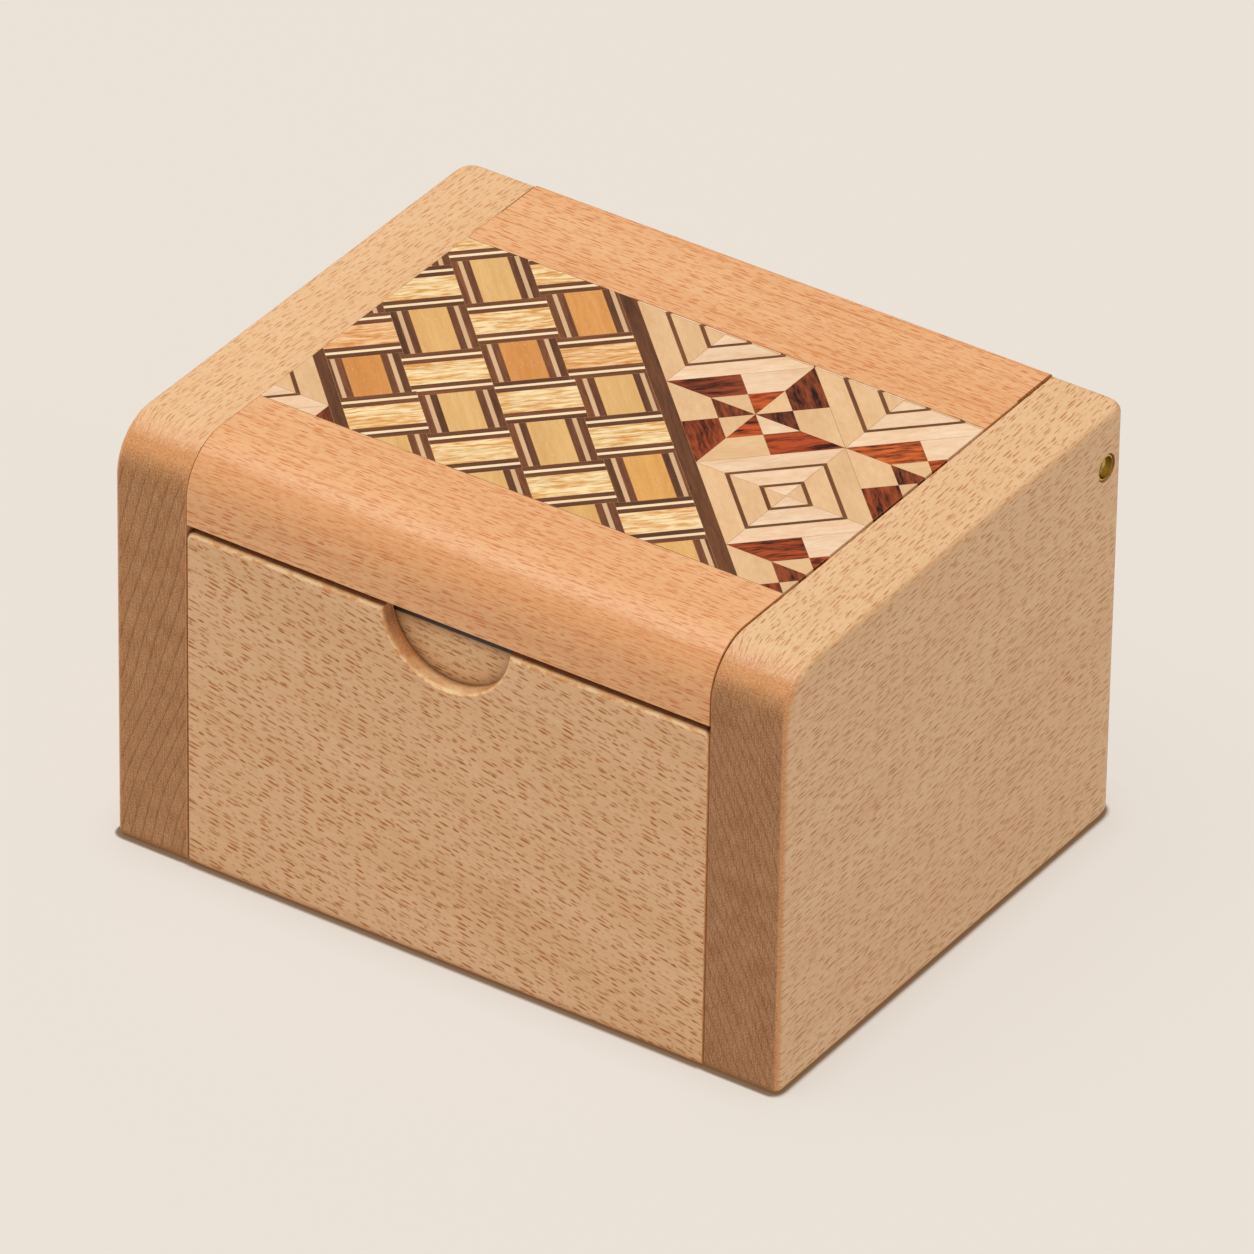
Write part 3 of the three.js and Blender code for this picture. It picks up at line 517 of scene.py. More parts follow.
def shaded_board(recipe, colour, height, depth, shift, reach):
    # Painted shade where another piece lies within the reach.
    closed = 1 - recipe.openness(reach * MM, 6)
    colour = recipe.mix(closed.step(0.15, 0.6) * 0.4, colour, paint(150, 96, 44))
    # A painted shadow under the shut lid: a tan band, then a near-black line on the board's front face.
    roof, front = (LID_SHADOW_LINE + shift[2]) * MM, (BOARD_FRONT + shift[1]) * MM
    below = 1 - height.step(roof + 0.7 * MM, roof + 0.9 * MM)
    tan = height.step(roof - 1.6 * MM, roof - 0.3 * MM) * below
    colour = recipe.mix(tan * 0.5, colour, paint(132, 88, 44))
    on_front = 1 - depth.step(front + 0.05 * MM, front + 0.1 * MM)
    line = height.step(roof - 0.3 * MM, roof) * below * on_front
    return recipe.mix(line * 0.96, colour, paint(22, 8, 1))


def end_colours(recipe, grained, ring, pale, end_tone):
    """End grain, with fine rings, rays and specks on a darker ground, and the orange edge round it."""
    speck = recipe.noise(grained, (0, 4200, 4200), detail=2, roughness=0.7)
    ray = recipe.noise(grained, (0, 420, 4800), detail=1)
    cloud = recipe.noise(grained, (0, 260, 260), detail=1)
    pale_end = recipe.mix(0.38, end_tone, pale)
    dark_end = recipe.mix(0.4, end_tone, paint(92, 50, 20))
    colour = recipe.mix((speck * 2.4 + ray + cloud * 0.5 - 1.5).held(), dark_end, pale_end)
    blush = recipe.mix(speck.step(0.35, 0.65), paint(190, 112, 56), paint(232, 164, 102))
    return recipe.mix(ring, colour, paint(84, 44, 18)), blush

print("the panel turns dark from", PANEL_SHADE[0], "to", PANEL_SHADE[1], "mm, the lid's line is at", LID_SHADOW_LINE)

# %% [markdown]
# One recipe then serves every beech piece. The broad bands with their fibres come first, then thin
# lines and flecks, the oil on the edges, the panel's painted highlight and painted shade, the painted
# shade and shadow line on the board behind the panel, and the ends last, because each covers what
# lies under it.

# %% The beech surface
def beech(name, grain, pale, deep, fleck, end_tone=(190, 134, 86), lean=0.0, shift=(0, 0, 0),
          ring_lean=0.0, ring_gap=2.0, length=2.1, width=0.3, flecked=1.0, lined=0.3, eased=False,
          unrolled=True, shaded=0.0):
    """Sanded and oiled beech. Colours are for the pale wood, the deeper bands and the flecks. The
    lean is how many degrees the grain runs out of true. Shaded is how near another piece has to be
    to darken it with painted shade, in millimetres."""
    recipe = Recipe(name)
    pale, deep, fleck, end_tone = (paint(*tone) for tone in (pale, deep, fleck, end_tone))
    along, height, depth = split_by_grain(recipe, grain, shift)
    grained = recipe.node("ShaderNodeCombineXYZ", {}, {0: along, 1: height, 2: depth})
    girth = recipe.attribute("girth") if unrolled else height + depth
    girth = girth - along * math.tan(math.radians(lean))

    level = recipe.node("ShaderNodeCombineXYZ", {}, {0: along, 1: girth, 2: shift[0] * MM})
    spot = recipe.wandering(level, (60, 120, 1), 0.0006)

    # Flecks, in two sizes
    elsewhere = recipe.vector("ADD", spot, (0.37, 0.11, 0.23))
    short_ones = flecks(recipe, elsewhere, length * 0.45, width * 0.75, 5.5)
    dash = (flecks(recipe, spot, length, width) + short_ones * 0.6).held()

    # Tone: broad bands, a few thin lines and a fur of fibres
    bands = recipe.noise(spot, (12, 110, 1))
    lines = recipe.noise(spot, (32, 1500, 1), detail=1).step(0.56, 0.78)
    streaks = recipe.noise(spot, (110, 2600, 1), detail=1)
    fibres = recipe.noise(spot, (900, 7000, 1), detail=1)
    colour = recipe.mix((bands + streaks * 0.9 + fibres * 1.1 - 1.0).held(), pale, deep)
    colour = recipe.mix(lines * lined, colour, fleck)
    colour = recipe.mix(dash * flecked, colour, fleck)

    # Edges: rounded ones take more of the oil.
    rounded = recipe.attribute("rounded")
    mottle = recipe.noise(grained, (900, 1700, 1700), detail=3, roughness=0.65)
    # On the panel: a painted highlight on the eased edges, and painted shade under the lid.
    if eased:
        colour = panel_edge_highlight_and_shade(recipe, colour, grained, height, shift)
    else:
        oiled = (rounded * 4.0).held() * mottle.step(0.3, 0.6)
        colour = recipe.mix(oiled * 0.5, colour, recipe.mix(0.3, deep, fleck))
    # On the board behind the panel: painted shade, and a painted shadow line under the lid.
    if shaded:
        colour = shaded_board(recipe, colour, height, depth, shift, shaded)

    # Ends
    ends = recipe.attribute("end_grain")
    ring = end_rings(recipe, grained, height, depth, ring_lean, ring_gap) * ends.step(0.9, 0.99) * 0.64
    end_colour, blush = end_colours(recipe, grained, ring, pale, end_tone)
    shown = (ends + mottle * 0.16 - 0.08).step(0.8, 0.95)
    colour = recipe.mix((ends + mottle * 0.6 - 0.3).step(0.25, 0.7) * 0.7, colour, blush)
    colour = recipe.mix(shown, colour, end_colour)

    relief = (dash * -0.35 + fibres * 0.35 + streaks * 0.3) * (1 - shown)
    gloss = 0.42 + fibres * 0.1 + dash * 0.08 + shown * 0.12 - (rounded * 0.9).held()
    return recipe.solid(colour, gloss, relief, 0.00004, Specular_IOR_Level=0.25 if eased else 0.4)

print("recipe ready:", beech.__doc__.split(".")[0])

# %% [markdown]
# The boards were cut from different trees, so each has its own tones, its own flecks and its own
# lean of the grain.

# %% Six kinds of beech
side_beech = beech("side_beech", ALONG_Y, (242, 200, 153), (229, 178, 126), (198, 126, 62),
                   (184, 119, 59), lean=3, shift=(11, 3, 7), ring_lean=-17, ring_gap=1.7,
                   length=2.7, width=0.25, flecked=0.75)
far_side_beech = beech("far_side_beech", ALONG_Y, (239, 200, 154), (225, 177, 128), (188, 118, 58),
                       (174, 111, 57), lean=-3.5, shift=(53, 29, 17), ring_lean=25, ring_gap=1.4,
                       length=2.9, width=0.24, flecked=0.85)
# The lid's pale end tone is painted light: it brightens end faces that lie in shade at the relief.
lid_beech = beech("lid_beech", ALONG_X, (242, 189, 137), (228, 162, 107), (208, 120, 60), (236, 160, 92),
                  lean=0.5, shift=(5, 61, 23), length=3.1, width=0.22, flecked=0.95, lined=0.7)
# The panel's eased edges take a painted highlight, and painted shade close under the lid.
panel_beech = beech("panel_beech", ALONG_X, (239, 199, 156), (226, 175, 127), (186, 110, 46),
                    (205, 150, 100), lean=-10, shift=(31, 7, 41), length=2.5, eased=True)
inner_beech = beech("inner_beech", ALONG_X, (236, 198, 150), (222, 174, 122), (176, 108, 60), lean=1,
                    shift=(17, 83, 3), width=0.28, unrolled=False)
# The board behind the panel takes painted shade, and a painted shadow line under the lid.
behind_panel_beech = beech("behind_panel_beech", ALONG_X, (248, 208, 160), (236, 186, 134),
                           (188, 122, 66), lean=-6, shift=(27, 13, 3), length=2.4, width=0.26,
                           unrolled=False, shaded=2.5)
print("beech surfaces:", [m.name for m in bpy.data.materials if "beech" in m.name])

# %% [markdown]
# ## The side boards
#
# Each side board is 12 mm beech. Its front top corner has a large round that the lid shares, its
# back top corner a smaller one, and its feet are just eased. Then a router goes round the outer
# face. Inside are grooves for the tongues of the boards between, and a bore for the hinge pin.
#
# The order matters: the large corners are rounded first, while the blank has only four long
# edges, and the small round then follows the whole outline in one pass.

# %% Side boards
FRONT_TOP_ROUND, FOOT_ROUND, BACK_CORNER_ROUND = 8, 1.3, 4.2
OUTER_ROUND, INNER_ROUND = 1.15, 0.15
TONGUE, CHEEK_GAP, END_GAP, HAUNCH = 3, 0.1, 0.3, 5
PIN_RADIUS, PIN_GAP = 2, 0.15
WELL_INSIDE, WELL_OUTSIDE = 40, 60  # x values to start and end a cut through a side board


def box_of(node):
    """A node's lowest and highest corners in millimetres."""
    low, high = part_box(node)
    return Vector(low) / MM, Vector(high) / MM


def middle_of(node):
    low, high = box_of(node)
    return (low + high) / 2


hinge = middle_of("hinge_pin_right")


def side_board(name, node, hand):
    """hand is 1 for the right board and -1 for the left."""
    low, high = box_of(node)
    board = sawn_blank(name, low, high)
    outside, inside = (high.x, low.x) if hand > 0 else (low.x, high.x)

    def back_corner(middle, way):
        return abs(way.z) > 0.99 and near(middle.x, outside) and near(middle.y, high.y)

    round_over(board, BACK_CORNER_ROUND, back_corner, 12, fullness=0.65)
    front_edge = lambda m, w: abs(w.x) > 0.99 and near(m.y, low.y)
    for z, radius, steps in ((high.z, FRONT_TOP_ROUND, 20), (low.z, FOOT_ROUND, 8)):
        round_over(board, radius, lambda m, w: front_edge(m, w) and near(m.z, z), steps)

    def on_the_outline(middle, way):
        """Round the outer face, and on along the top and bottom edges at the back."""
        level = near(middle.z, low.z) or near(middle.z, high.z)
        if middle.y > high.y - BACK_CORNER_ROUND - 0.1:
            return level and not near(middle.x, inside)
        return near(middle.x, outside)

    round_over(board, OUTER_ROUND, on_the_outline, 8)
    round_over(board, INNER_ROUND, lambda m, w: near(m.x, inside), 4)

    # Grooves for the tongues: two upright ones, and a level one between them for the bottom board
    groove = TONGUE / 2 + CHEEK_GAP
    end = box_of("bottom_board")[1].x + END_GAP
    cuts = []
    for upright in ("inner_front_board", "back_board"):
        y, top = middle_of(upright).y, box_of(upright)[1].z - HAUNCH + END_GAP
        cuts.append(((y - groove, -1), (y + groove, top)))
    z = middle_of("bottom_board").z
    front, back = box_of("inner_front_board")[1].y, box_of("back_board")[0].y
    cuts.append(((front, z - groove), (back, z + groove)))
    near_x, far_x = sorted((hand * WELL_INSIDE, hand * end))
    for near_corner, far_corner in cuts:
        saw_out(board, (near_x, *near_corner), (far_x, *far_corner))
    ends = [(hand * x, hinge.y, hinge.z) for x in (WELL_INSIDE, WELL_OUTSIDE)]
    bore(board, PIN_RADIUS + PIN_GAP, *ends)
    return sanded(board, ALONG_Y)


for side, hand, surface in (("right", 1, far_side_beech), ("left", -1, side_beech)):
    board = side_board(f"{side}_side", f"side_board_{side}", hand)
    take_finish(board, "carcass", f"side_board_{side}", "side_beech", surface)

# %% [markdown]
# ## The lid
#
# The lid is one thick board. Its front nose has the same round as the side boards, so that the
# three meet in one line. Its lower back corner is rounded about the pins, which lets it turn
# without touching the back board. A wide, shallow trench across the top takes the marquetry.

# %% Lid board
LIP_ROUND, LID_BACK_ROUND, LID_END_ROUND = 0.35, 1, 0.12
INLAY_THICK, INLAY_HALF, GLUE_GAP = 1.5, 25, 0.05
RUN_GAP, PIN_REACH, RELIEF, RELIEF_LENGTH = 0.3, 10, 0.2, 9.2
POCKET_HALF, POCKET_DEPTH, POCKET_GAP, PILOT_RADIUS = 5.15, 1.2, 0.15, 1.15
CLEAR, CLEAR_BELOW, CLEAR_ABOVE = 50, 50, 70  # beyond the lid on every side, below it and above it
LID_SIDE_GAP = 0.15
lid_low, lid_high = box_of("lid_board")
lid_high.x = box_of("side_board_right")[0].x - LID_SIDE_GAP
lid_low.x = -lid_high.x


def lid_board():
    lid = sawn_blank("lid", lid_low, lid_high)
    corners = [(lid_low.y, lid_high.z, FRONT_TOP_ROUND, 20), (lid_high.y, lid_high.z, LID_BACK_ROUND, 8),
               (lid_low.y, lid_low.z, LIP_ROUND, 6)]
    for y, z, radius, steps in corners:
        round_over(lid, radius, lambda m, w: abs(w.x) > 0.99 and near(m.y, y) and near(m.z, z), steps)

    # The heel: a square corner less a rod about the pins is what has to come off.
    scrap = sawn_blank("scrap", (-CLEAR, hinge.y, lid_low.z - 2), (CLEAR, lid_high.y + 2, hinge.z))
    heel = lid_high.y - hinge.y
    bore(scrap, heel, (-CLEAR - 2, hinge.y, hinge.z), (CLEAR + 2, hinge.y, hinge.z), sides=96)
    cut_away(lid, scrap)
    round_over(lid, LID_END_ROUND, lambda m, w: near(abs(m.x), lid_high.x, 0.005), 3)

    # The trench for the marquetry, then the relief and the bore at each pin
    wide, trench_floor = INLAY_HALF + GLUE_GAP, lid_high.z - INLAY_THICK - GLUE_GAP
    saw_out(lid, (-CLEAR, -wide, trench_floor), (CLEAR, wide, lid_high.z + 2))
    for hand in (-1, 1):
        near_x, far_x = sorted((hand * CLEAR, hand * (lid_high.x - RELIEF)))
        saw_out(lid, (near_x, lid_high.y - RELIEF_LENGTH, CLEAR_BELOW), (far_x, CLEAR, CLEAR_ABOVE))
        ends = [(hand * x, hinge.y, hinge.z) for x in (lid_high.x - PIN_REACH - RUN_GAP, CLEAR)]
        bore(lid, PIN_RADIUS + RUN_GAP, *ends)

    # A pocket for the catch and pilot holes for its screws
    catch_low, catch_high = box_of("lid_catch")
    saw_out(lid, (-POCKET_HALF, catch_low.y - POCKET_GAP, CLEAR_BELOW),
            (POCKET_HALF, catch_high.y + POCKET_GAP, lid_low.z + POCKET_DEPTH))
    for screw in ("catch_screw_front", "catch_screw_back"):
        y, top = middle_of(screw).y, box_of(screw)[1].z + POCKET_GAP
        bore(lid, PILOT_RADIUS, (0, y, CLEAR_BELOW), (0, y, top), sides=24)
    return sanded(lid, ALONG_X)


take_finish(lid_board(), "lid", "lid_board", "lid_beech", lid_beech)

# %% [markdown]
# ## The front panel
#
# The panel is thin, 2.5 mm. A round thumb notch breaks its top edge, and the top edge and the
# notch's rim are well rounded over, while the sides and the foot are barely eased. A bevel
# modifier can do both at once, because it can scale its width by a weight on each edge.

# %% Front panel
PANEL_TOP_EASE, PANEL_SIDE_EASE, PANEL_CORNER = 0.9, 0.3, 1
NOTCH_RADIUS, NOTCH_RISE, NOTCH_SHARE = 10.4, 1, 0.4
STOP_PIN_GAP, STOP_SLOT = 0.15, 1.5
PANEL_TRAVEL = 6


def ease_by_weight(panel, low, high):
    """Rounds the front edges over: fully along the top, less in the notch and least elsewhere."""
    weights = panel.data.attributes.new("bevel_weight_edge", "FLOAT", "EDGE")
    least = PANEL_SIDE_EASE / PANEL_TOP_EASE
    for edge in panel.data.edges:
        ends = [panel.data.vertices[i].co / MM for i in edge.vertices]
        middle = (ends[0] + ends[1]) / 2
        if near(ends[0].y, low.y) and near(ends[1].y, low.y):
            rise = (middle.z - (high.z - PANEL_CORNER)) / PANEL_CORNER
            in_notch = abs(middle.x) < NOTCH_RADIUS + 0.5 and middle.z > high.z - NOTCH_RADIUS - 1
            share = NOTCH_SHARE if in_notch else min(max(rise, 0.0), 1.0)
            weights.data[edge.index].value = least + (1 - least) * share
    apply_change(panel, "BEVEL", limit_method="WEIGHT", width=PANEL_TOP_EASE * MM, segments=6,
                 use_clamp_overlap=False)


def front_panel():
    low, high = box_of("front_panel")
    panel = sawn_blank("panel", low, high)
    round_over(panel, PANEL_CORNER, lambda m, w: abs(w.y) > 0.99 and near(m.z, high.z), 6)
    notch_z = high.z + NOTCH_RISE
    bore(panel, NOTCH_RADIUS, (0, low.y - 2, notch_z), (0, high.y + 2, notch_z), sides=128)

    def short_step(middle, way):
        """One of the notch's last steps, which are shorter than the ease is wide."""
        at_the_rim = abs(way.y) > 0.99 and near(abs(middle.x), NOTCH_RADIUS, 0.4)
        return at_the_rim and 0.005 < high.z - middle.z < PANEL_TOP_EASE

    start_shaping(panel, "EDGE")
    pick(panel, "EDGE", short_step)
    bpy.ops.mesh.dissolve_edges(use_verts=True)
    stop_shaping()
    ease_by_weight(panel, low, high)

    # The slot at the back that the stop pin runs in
    stop_low, stop_high = box_of("panel_stop_pin")
    radius = (stop_high.x - stop_low.x) / 2 + STOP_PIN_GAP
    z = (stop_low.z + stop_high.z) / 2
    floor, past = high.y - STOP_SLOT, high.y + 2
    saw_out(panel, (-radius, floor, z), (radius, past, z + PANEL_TRAVEL))
    for height in (z, z + PANEL_TRAVEL):
        bore(panel, radius, (0, floor, height), (0, past, height), sides=32)
    sanded(panel, ALONG_X)
    write_corners(panel.data, "facing", [abs(normal.vector.y) for normal in panel.data.corner_normals])
    return panel


take_finish(front_panel(), "panel", "front_panel", "panel_beech", panel_beech)

# %% [markdown]
# ## The hinge pins
#
# The pins are turned brass rods, pressed in from the outside. Their outer ends are cupped, which
# leaves a thin rim. The cup is made by insetting the end face and pushing it in.

# %% Brass and the pins
def brass_surface(name, base, deep, rough):
    recipe = Recipe(name)
    place = recipe.node("ShaderNodeTexCoord", take="Object")
    cloud = recipe.noise(place, (900, 900, 900), detail=3)
    scratch = recipe.noise(place, (300, 6000, 6000), detail=2)
    colour = recipe.mix(cloud.step(0.3, 0.75), base, deep)
    gloss = cloud * 0.14 + scratch * 0.08 + (rough - 0.1)
    return recipe.solid(colour, gloss, scratch, 0.00001, Metallic=1.0)


pin_brass = brass_surface("pin_brass", paint(224, 196, 112), paint(158, 130, 62), 0.26)
catch_brass = brass_surface("catch_brass", paint(216, 180, 106), paint(184, 144, 74), 0.3)
CUP_RADIUS, CUP_DEPTH, PIN_EASE = 1.7, 1.1, 0.2
CUP_STEPS = ((0.45, 0.97), (0.4, 0.9), (0.2, 0.78), (0.05, 0.5))  # shares of the depth and width


def hinge_pin(name, node, hand):
    low, high = box_of(node)
    inner, outer = (low.x, high.x) if hand > 0 else (high.x, low.x)
    pin = turned_rod(name, PIN_RADIUS, (inner, hinge.y, hinge.z), (outer, hinge.y, hinge.z))
    round_over(pin, PIN_EASE, lambda m, w: near(abs(m.x), abs(inner)) or near(abs(m.x), abs(outer)), 3)
    start_shaping(pin, "FACE")
    pick(pin, "FACE", lambda m, n: n.x * hand > 0.99 and near(m.x, outer))
    bpy.ops.mesh.inset(thickness=(PIN_RADIUS - PIN_EASE - CUP_RADIUS + 0.02) * MM)
    middle = (outer * MM, hinge.y * MM, hinge.z * MM)
    for push, shrink in CUP_STEPS:
        inwards = (-hand * CUP_DEPTH * push * MM, 0, 0)
        bpy.ops.mesh.extrude_region_move(TRANSFORM_OT_translate={"value": inwards})
        bpy.ops.transform.resize(value=(1, shrink, shrink), center_override=middle)
    stop_shaping()
    return sanded(pin)


for side, hand in (("left", -1), ("right", 1)):
    pin = hinge_pin(f"pin_{side}", f"hinge_pin_{side}", hand)
    take_finish(pin, "carcass", f"hinge_pin_{side}", "pin_brass", pin_brass)

# %% [markdown]
# ## Veneer woods for the marquetry
#
# Every piece of the pattern keeps its own grain. So each face is given a place in the grain of
# the wood that it was cut from: how far along, how far across, and a third number that is
# different for each piece, so that no two pieces look alike. A tint for each face goes with it.

# %% Veneer surfaces
def veneer(name, pale, deep, contrast, coarse, fine, tinted=True, sharp=(0.3, 0.7), specks=0.0,
           short=0.07, shine=0.3):
    """A thin sawn wood. Coarse and fine are how many streaks there are to a metre across the grain,
    and short says how long a streak is: the smaller the number, the longer."""
    recipe = Recipe(name)
    pale, deep = (paint(*tone) if len(tone) == 3 else tone for tone in (pale, deep))
    grained = recipe.attribute("grain_place", take="Vector")
    spot = recipe.wandering(grained, (260, 420, 1), 0.0011)
    broad = recipe.noise(spot, (coarse * short, coarse, 1))
    thin = recipe.noise(spot, (fine * short, fine, 1), detail=3, roughness=0.6)
    fibres = recipe.noise(spot, (900, 7000, 1), detail=1)
    share = (broad * 0.5 + thin * 0.5).step(*sharp)
    colour = recipe.mix((share * contrast + fibres * 0.4 - 0.2).held(), pale, deep)
    if tinted:
        colour = recipe.mix(1.0, colour, recipe.attribute("tint", take="Color"), blend="MULTIPLY")
    if specks:
        pores = recipe.noise(spot, (1500, 5200, 1))
        colour = recipe.mix(pores.step(0.6, 0.72) * specks, colour, deep)
    height = fibres * 0.3 + thin * 0.3
    return recipe.solid(colour, fibres * 0.1 + 0.42, height, 0.00003, Specular_IOR_Level=shine)


WHOLE = (1, 1, 1, 1)  # takes all of its colour from the tint
WALNUT, TAN, WHITE, SPLINT, STREAKY, BEIGE, FIGURED, LINE, ROSEWOOD, GLUE = range(10)
veneers = {
    WALNUT: veneer("dark_strip", (132, 82, 50), (74, 44, 28), 0.9, 900, 2600, shine=0.15),
    TAN: veneer("tan_strip", (224, 186, 146), (203, 160, 118), 0.7, 700, 2600),
    WHITE: veneer("white_strip", (255, 236, 202), (240, 204, 152), 0.7, 700, 2600),
    SPLINT: veneer("dyed_splint", WHOLE, (0.8, 0.7, 0.55, 1), 0.8, 500, 1700, sharp=(0.35, 0.7),
                   specks=0.3),
    STREAKY: veneer("streaky_splint", (253, 228, 176), (220, 152, 70), 1.0, 1500, 3000, sharp=(0.42, 0.6),
                    short=0.15),
    BEIGE: veneer("plain_maple", (239, 200, 152), (221, 171, 121), 0.8, 300, 1500, short=0.35,
                  specks=0.12),
    FIGURED: veneer("figured_maple", (250, 221, 188), (230, 184, 138), 0.9, 420, 1900, short=0.3,
                    specks=0.12),
    LINE: veneer("brown_line", (126, 80, 46), (80, 48, 28), 0.8, 900, 2600, shine=0.15),
    ROSEWOOD: veneer("rosewood", WHOLE, (0.07, 0.055, 0.06, 1), 1.0, 800, 2200,
                     sharp=(0.42, 0.62), short=0.16, shine=0.15),
    GLUE: veneer("glue_line", (182, 138, 94), (150, 108, 68), 0.5, 900, 2600, tinted=False, shine=0.1),
}
print("veneers:", [m.name for m in veneers.values()])

# %% [markdown]
# ## Sawing the marquetry
#
# The pattern runs on the lid's diagonals. It is laid out square to the axes first, as one flat
# sheet, and turned into place at the end. The sheet is sawn by bisecting chosen faces along
# straight lines, which is how the real pattern is made. The sawn pieces are then parted, given
# their thickness and a hair of bevel, so that each joint shows as a fine line.
#
# The first number of the pattern runs towards the box's front right corner and the second
# towards its back right corner.

# %% The saw
PITCH, COLUMN_START, WEAVE_TOP, WEAVE_ROWS = 10.67, 0.5, 5.24, 4
SPLINT_EDGING = (1.0, 1.65, 2.65)
WIDE_BAND, NARROW_BAND = 2.2, 1.76
TILE, TILE_COLUMN, LOW_TILE_COLUMN = 20.75, 24.5, -18.8
SQUARE_LINES = (7.08, 6.5, 3.12, 2.54)
weave_bottom = WEAVE_TOP - WEAVE_ROWS * PITCH
right_edge = WEAVE_TOP + WIDE_BAND
left_edge = weave_bottom - NARROW_BAND
REACH = 56


anywhere = lambda u, v: True


def flat_sheet(name, low_v, high_v):
    """A flat sheet across the whole pattern between two heights, in millimetres."""
    bpy.ops.object.select_all(action="DESELECT")
    bpy.ops.mesh.primitive_plane_add(size=1, location=(0, (low_v + high_v) / 2 * MM, 0))
    bpy.context.object.scale = (2 * REACH * MM, (high_v - low_v) * MM, 1)
    return as_made(name)


def saw(sheet, chosen, point, across):
    """Saws the chosen faces along the line through a point, square to a direction."""
    if pick(sheet, "FACE", lambda m, n: chosen(m.x, m.y)):
        bpy.ops.mesh.bisect(plane_co=(point[0] * MM, point[1] * MM, 0), plane_no=(*across, 0))


def luck_of(*numbers):
    """A steady number between 0 and 1 for each set of numbers, in place of a dice throw."""
    mixed = math.sin(sum(n * k for n, k in zip(numbers, (12.9898, 78.233, 37.719, 9.151)))) * 43758.5453
    return mixed - math.floor(mixed)


print("pattern from", round(left_edge - TILE, 2), "to", round(right_edge + 3 * TILE, 2), "mm across")

# %% [markdown]
# The weave was cut by hand, so its splints don't meet quite true. Each streaky splint sits a
# little further along its row than it should, by its own slip, and the dyed splints of the top
# and bottom rows stand a little out of line. A cell's neighbours fill what is left between.

# %% Laying out the weave
WEAVE_COLUMNS = range(-6, 6)
BESIDE = 13  # how far from a cell's middle a saw line may run
STREAKY_SLIPS = {(0, -4): 0.25, (0, -2): 0.95, (0, 0): 0.05, (0, 2): 0.5, (1, -5): 0.2, (1, -3): 0.75,
                 (1, -1): -0.1, (1, 1): 0.2, (2, -4): 0.9, (2, -2): 1.4, (2, 0): 0.45, (3, -3): 0.8,
                 (3, -1): 0.2}
DYED_SLIPS = (0.6, -0.05, -0.05, -0.6)


def is_streaky(row, column):
    return (row + column) % 2 == 0


def streaky_start(row, column):
    return COLUMN_START + column * PITCH + STREAKY_SLIPS.get((row, column), 0)


def dyed_start(row):
    """A dyed cell's low side. Rows count downwards from the top."""
    return WEAVE_TOP - (row + 1) * PITCH + (DYED_SLIPS[row] if 0 <= row < WEAVE_ROWS else 0)


def weave_box(row, column):
    """A cell's lowest and highest u, then its lowest and highest v."""
    if is_streaky(row, column):
        low_u = streaky_start(row, column)
        high_v = dyed_start(row - 1) if row else WEAVE_TOP
        low_v = dyed_start(row + 1) + PITCH if row < WEAVE_ROWS - 1 else weave_bottom
        return low_u, low_u + PITCH, low_v, high_v
    return (streaky_start(row, column - 1) + PITCH, streaky_start(row, column + 1),
            dyed_start(row), dyed_start(row) + PITCH)


def weave_cell(u, v):
    """The cell that a point is in, and how far in it is from the cell's low side."""
    row = math.floor((WEAVE_TOP - v) / PITCH)
    column = math.floor((u - COLUMN_START) / PITCH)
    for down, along in ((0, 0), (0, -1), (0, 1), (-1, 0), (1, 0), (-1, -1), (-1, 1), (1, -1), (1, 1)):
        cell = (row + down, column + along)
        if not 0 <= cell[0] < WEAVE_ROWS:
            continue
        low_u, high_u, low_v, high_v = weave_box(*cell)
        if low_u < u < high_u and low_v < v < high_v:
            return *cell, (u - low_u) if is_streaky(*cell) else (v - low_v)
    return row, column, 0.0


def strip_of(inside):
    """Counts the strips from the edge of a cell to its middle: 0 to 2 are edging and 3 the splint."""
    depth = min(inside, PITCH - inside)
    return sum(depth > edge for edge in SPLINT_EDGING)


def weave_piece(u, v):
    """A name for the piece of wood at a point."""
    row, column, inside = weave_cell(u, v)
    return row, column, strip_of(inside), inside > PITCH / 2


def saw_weave(sheet):
    for column in WEAVE_COLUMNS:
        saw(sheet, anywhere, (COLUMN_START + (column + 0.5) * PITCH, 0), (1, 0))
    for row in range(1, WEAVE_ROWS):
        saw(sheet, anywhere, (0, WEAVE_TOP - row * PITCH), (0, 1))
    strips = [0, *SPLINT_EDGING, *(PITCH - e for e in reversed(SPLINT_EDGING)), PITCH]
    for row in range(WEAVE_ROWS):
        for column in WEAVE_COLUMNS:
            low_u, high_u, low_v, high_v = weave_box(row, column)
            for strip in strips:
                middle_u, middle_v = (low_u + high_u) / 2, (low_v + high_v) / 2
                beside = lambda u, v: abs(u - middle_u) < BESIDE and abs(v - middle_v) < BESIDE
                if is_streaky(row, column):
                    saw(sheet, beside, (low_u + strip, 0), (1, 0))
                else:
                    saw(sheet, beside, (0, low_v + strip), (0, 1))


def part_pieces(sheet, piece_at):
    """Parts the sheet along every line where one piece of wood meets another, and heals the rest."""
    bpy.ops.mesh.select_all(action="DESELECT")
    mesh = bmesh.from_edit_mesh(sheet.data)
    pieces = {face.index: piece_at(*(face.calc_center_median() / MM)[:2]) for face in mesh.faces}
    for edge in mesh.edges:
        sides = [pieces[face.index] for face in edge.link_faces]
        if len(sides) == 2 and sides[0] != sides[1]:
            edge.select_set(True)
    bmesh.update_edit_mesh(sheet.data)
    bpy.ops.mesh.edge_split(type="EDGE")
    bpy.ops.mesh.select_all(action="SELECT")
    bpy.ops.mesh.dissolve_limited(angle_limit=math.radians(1))


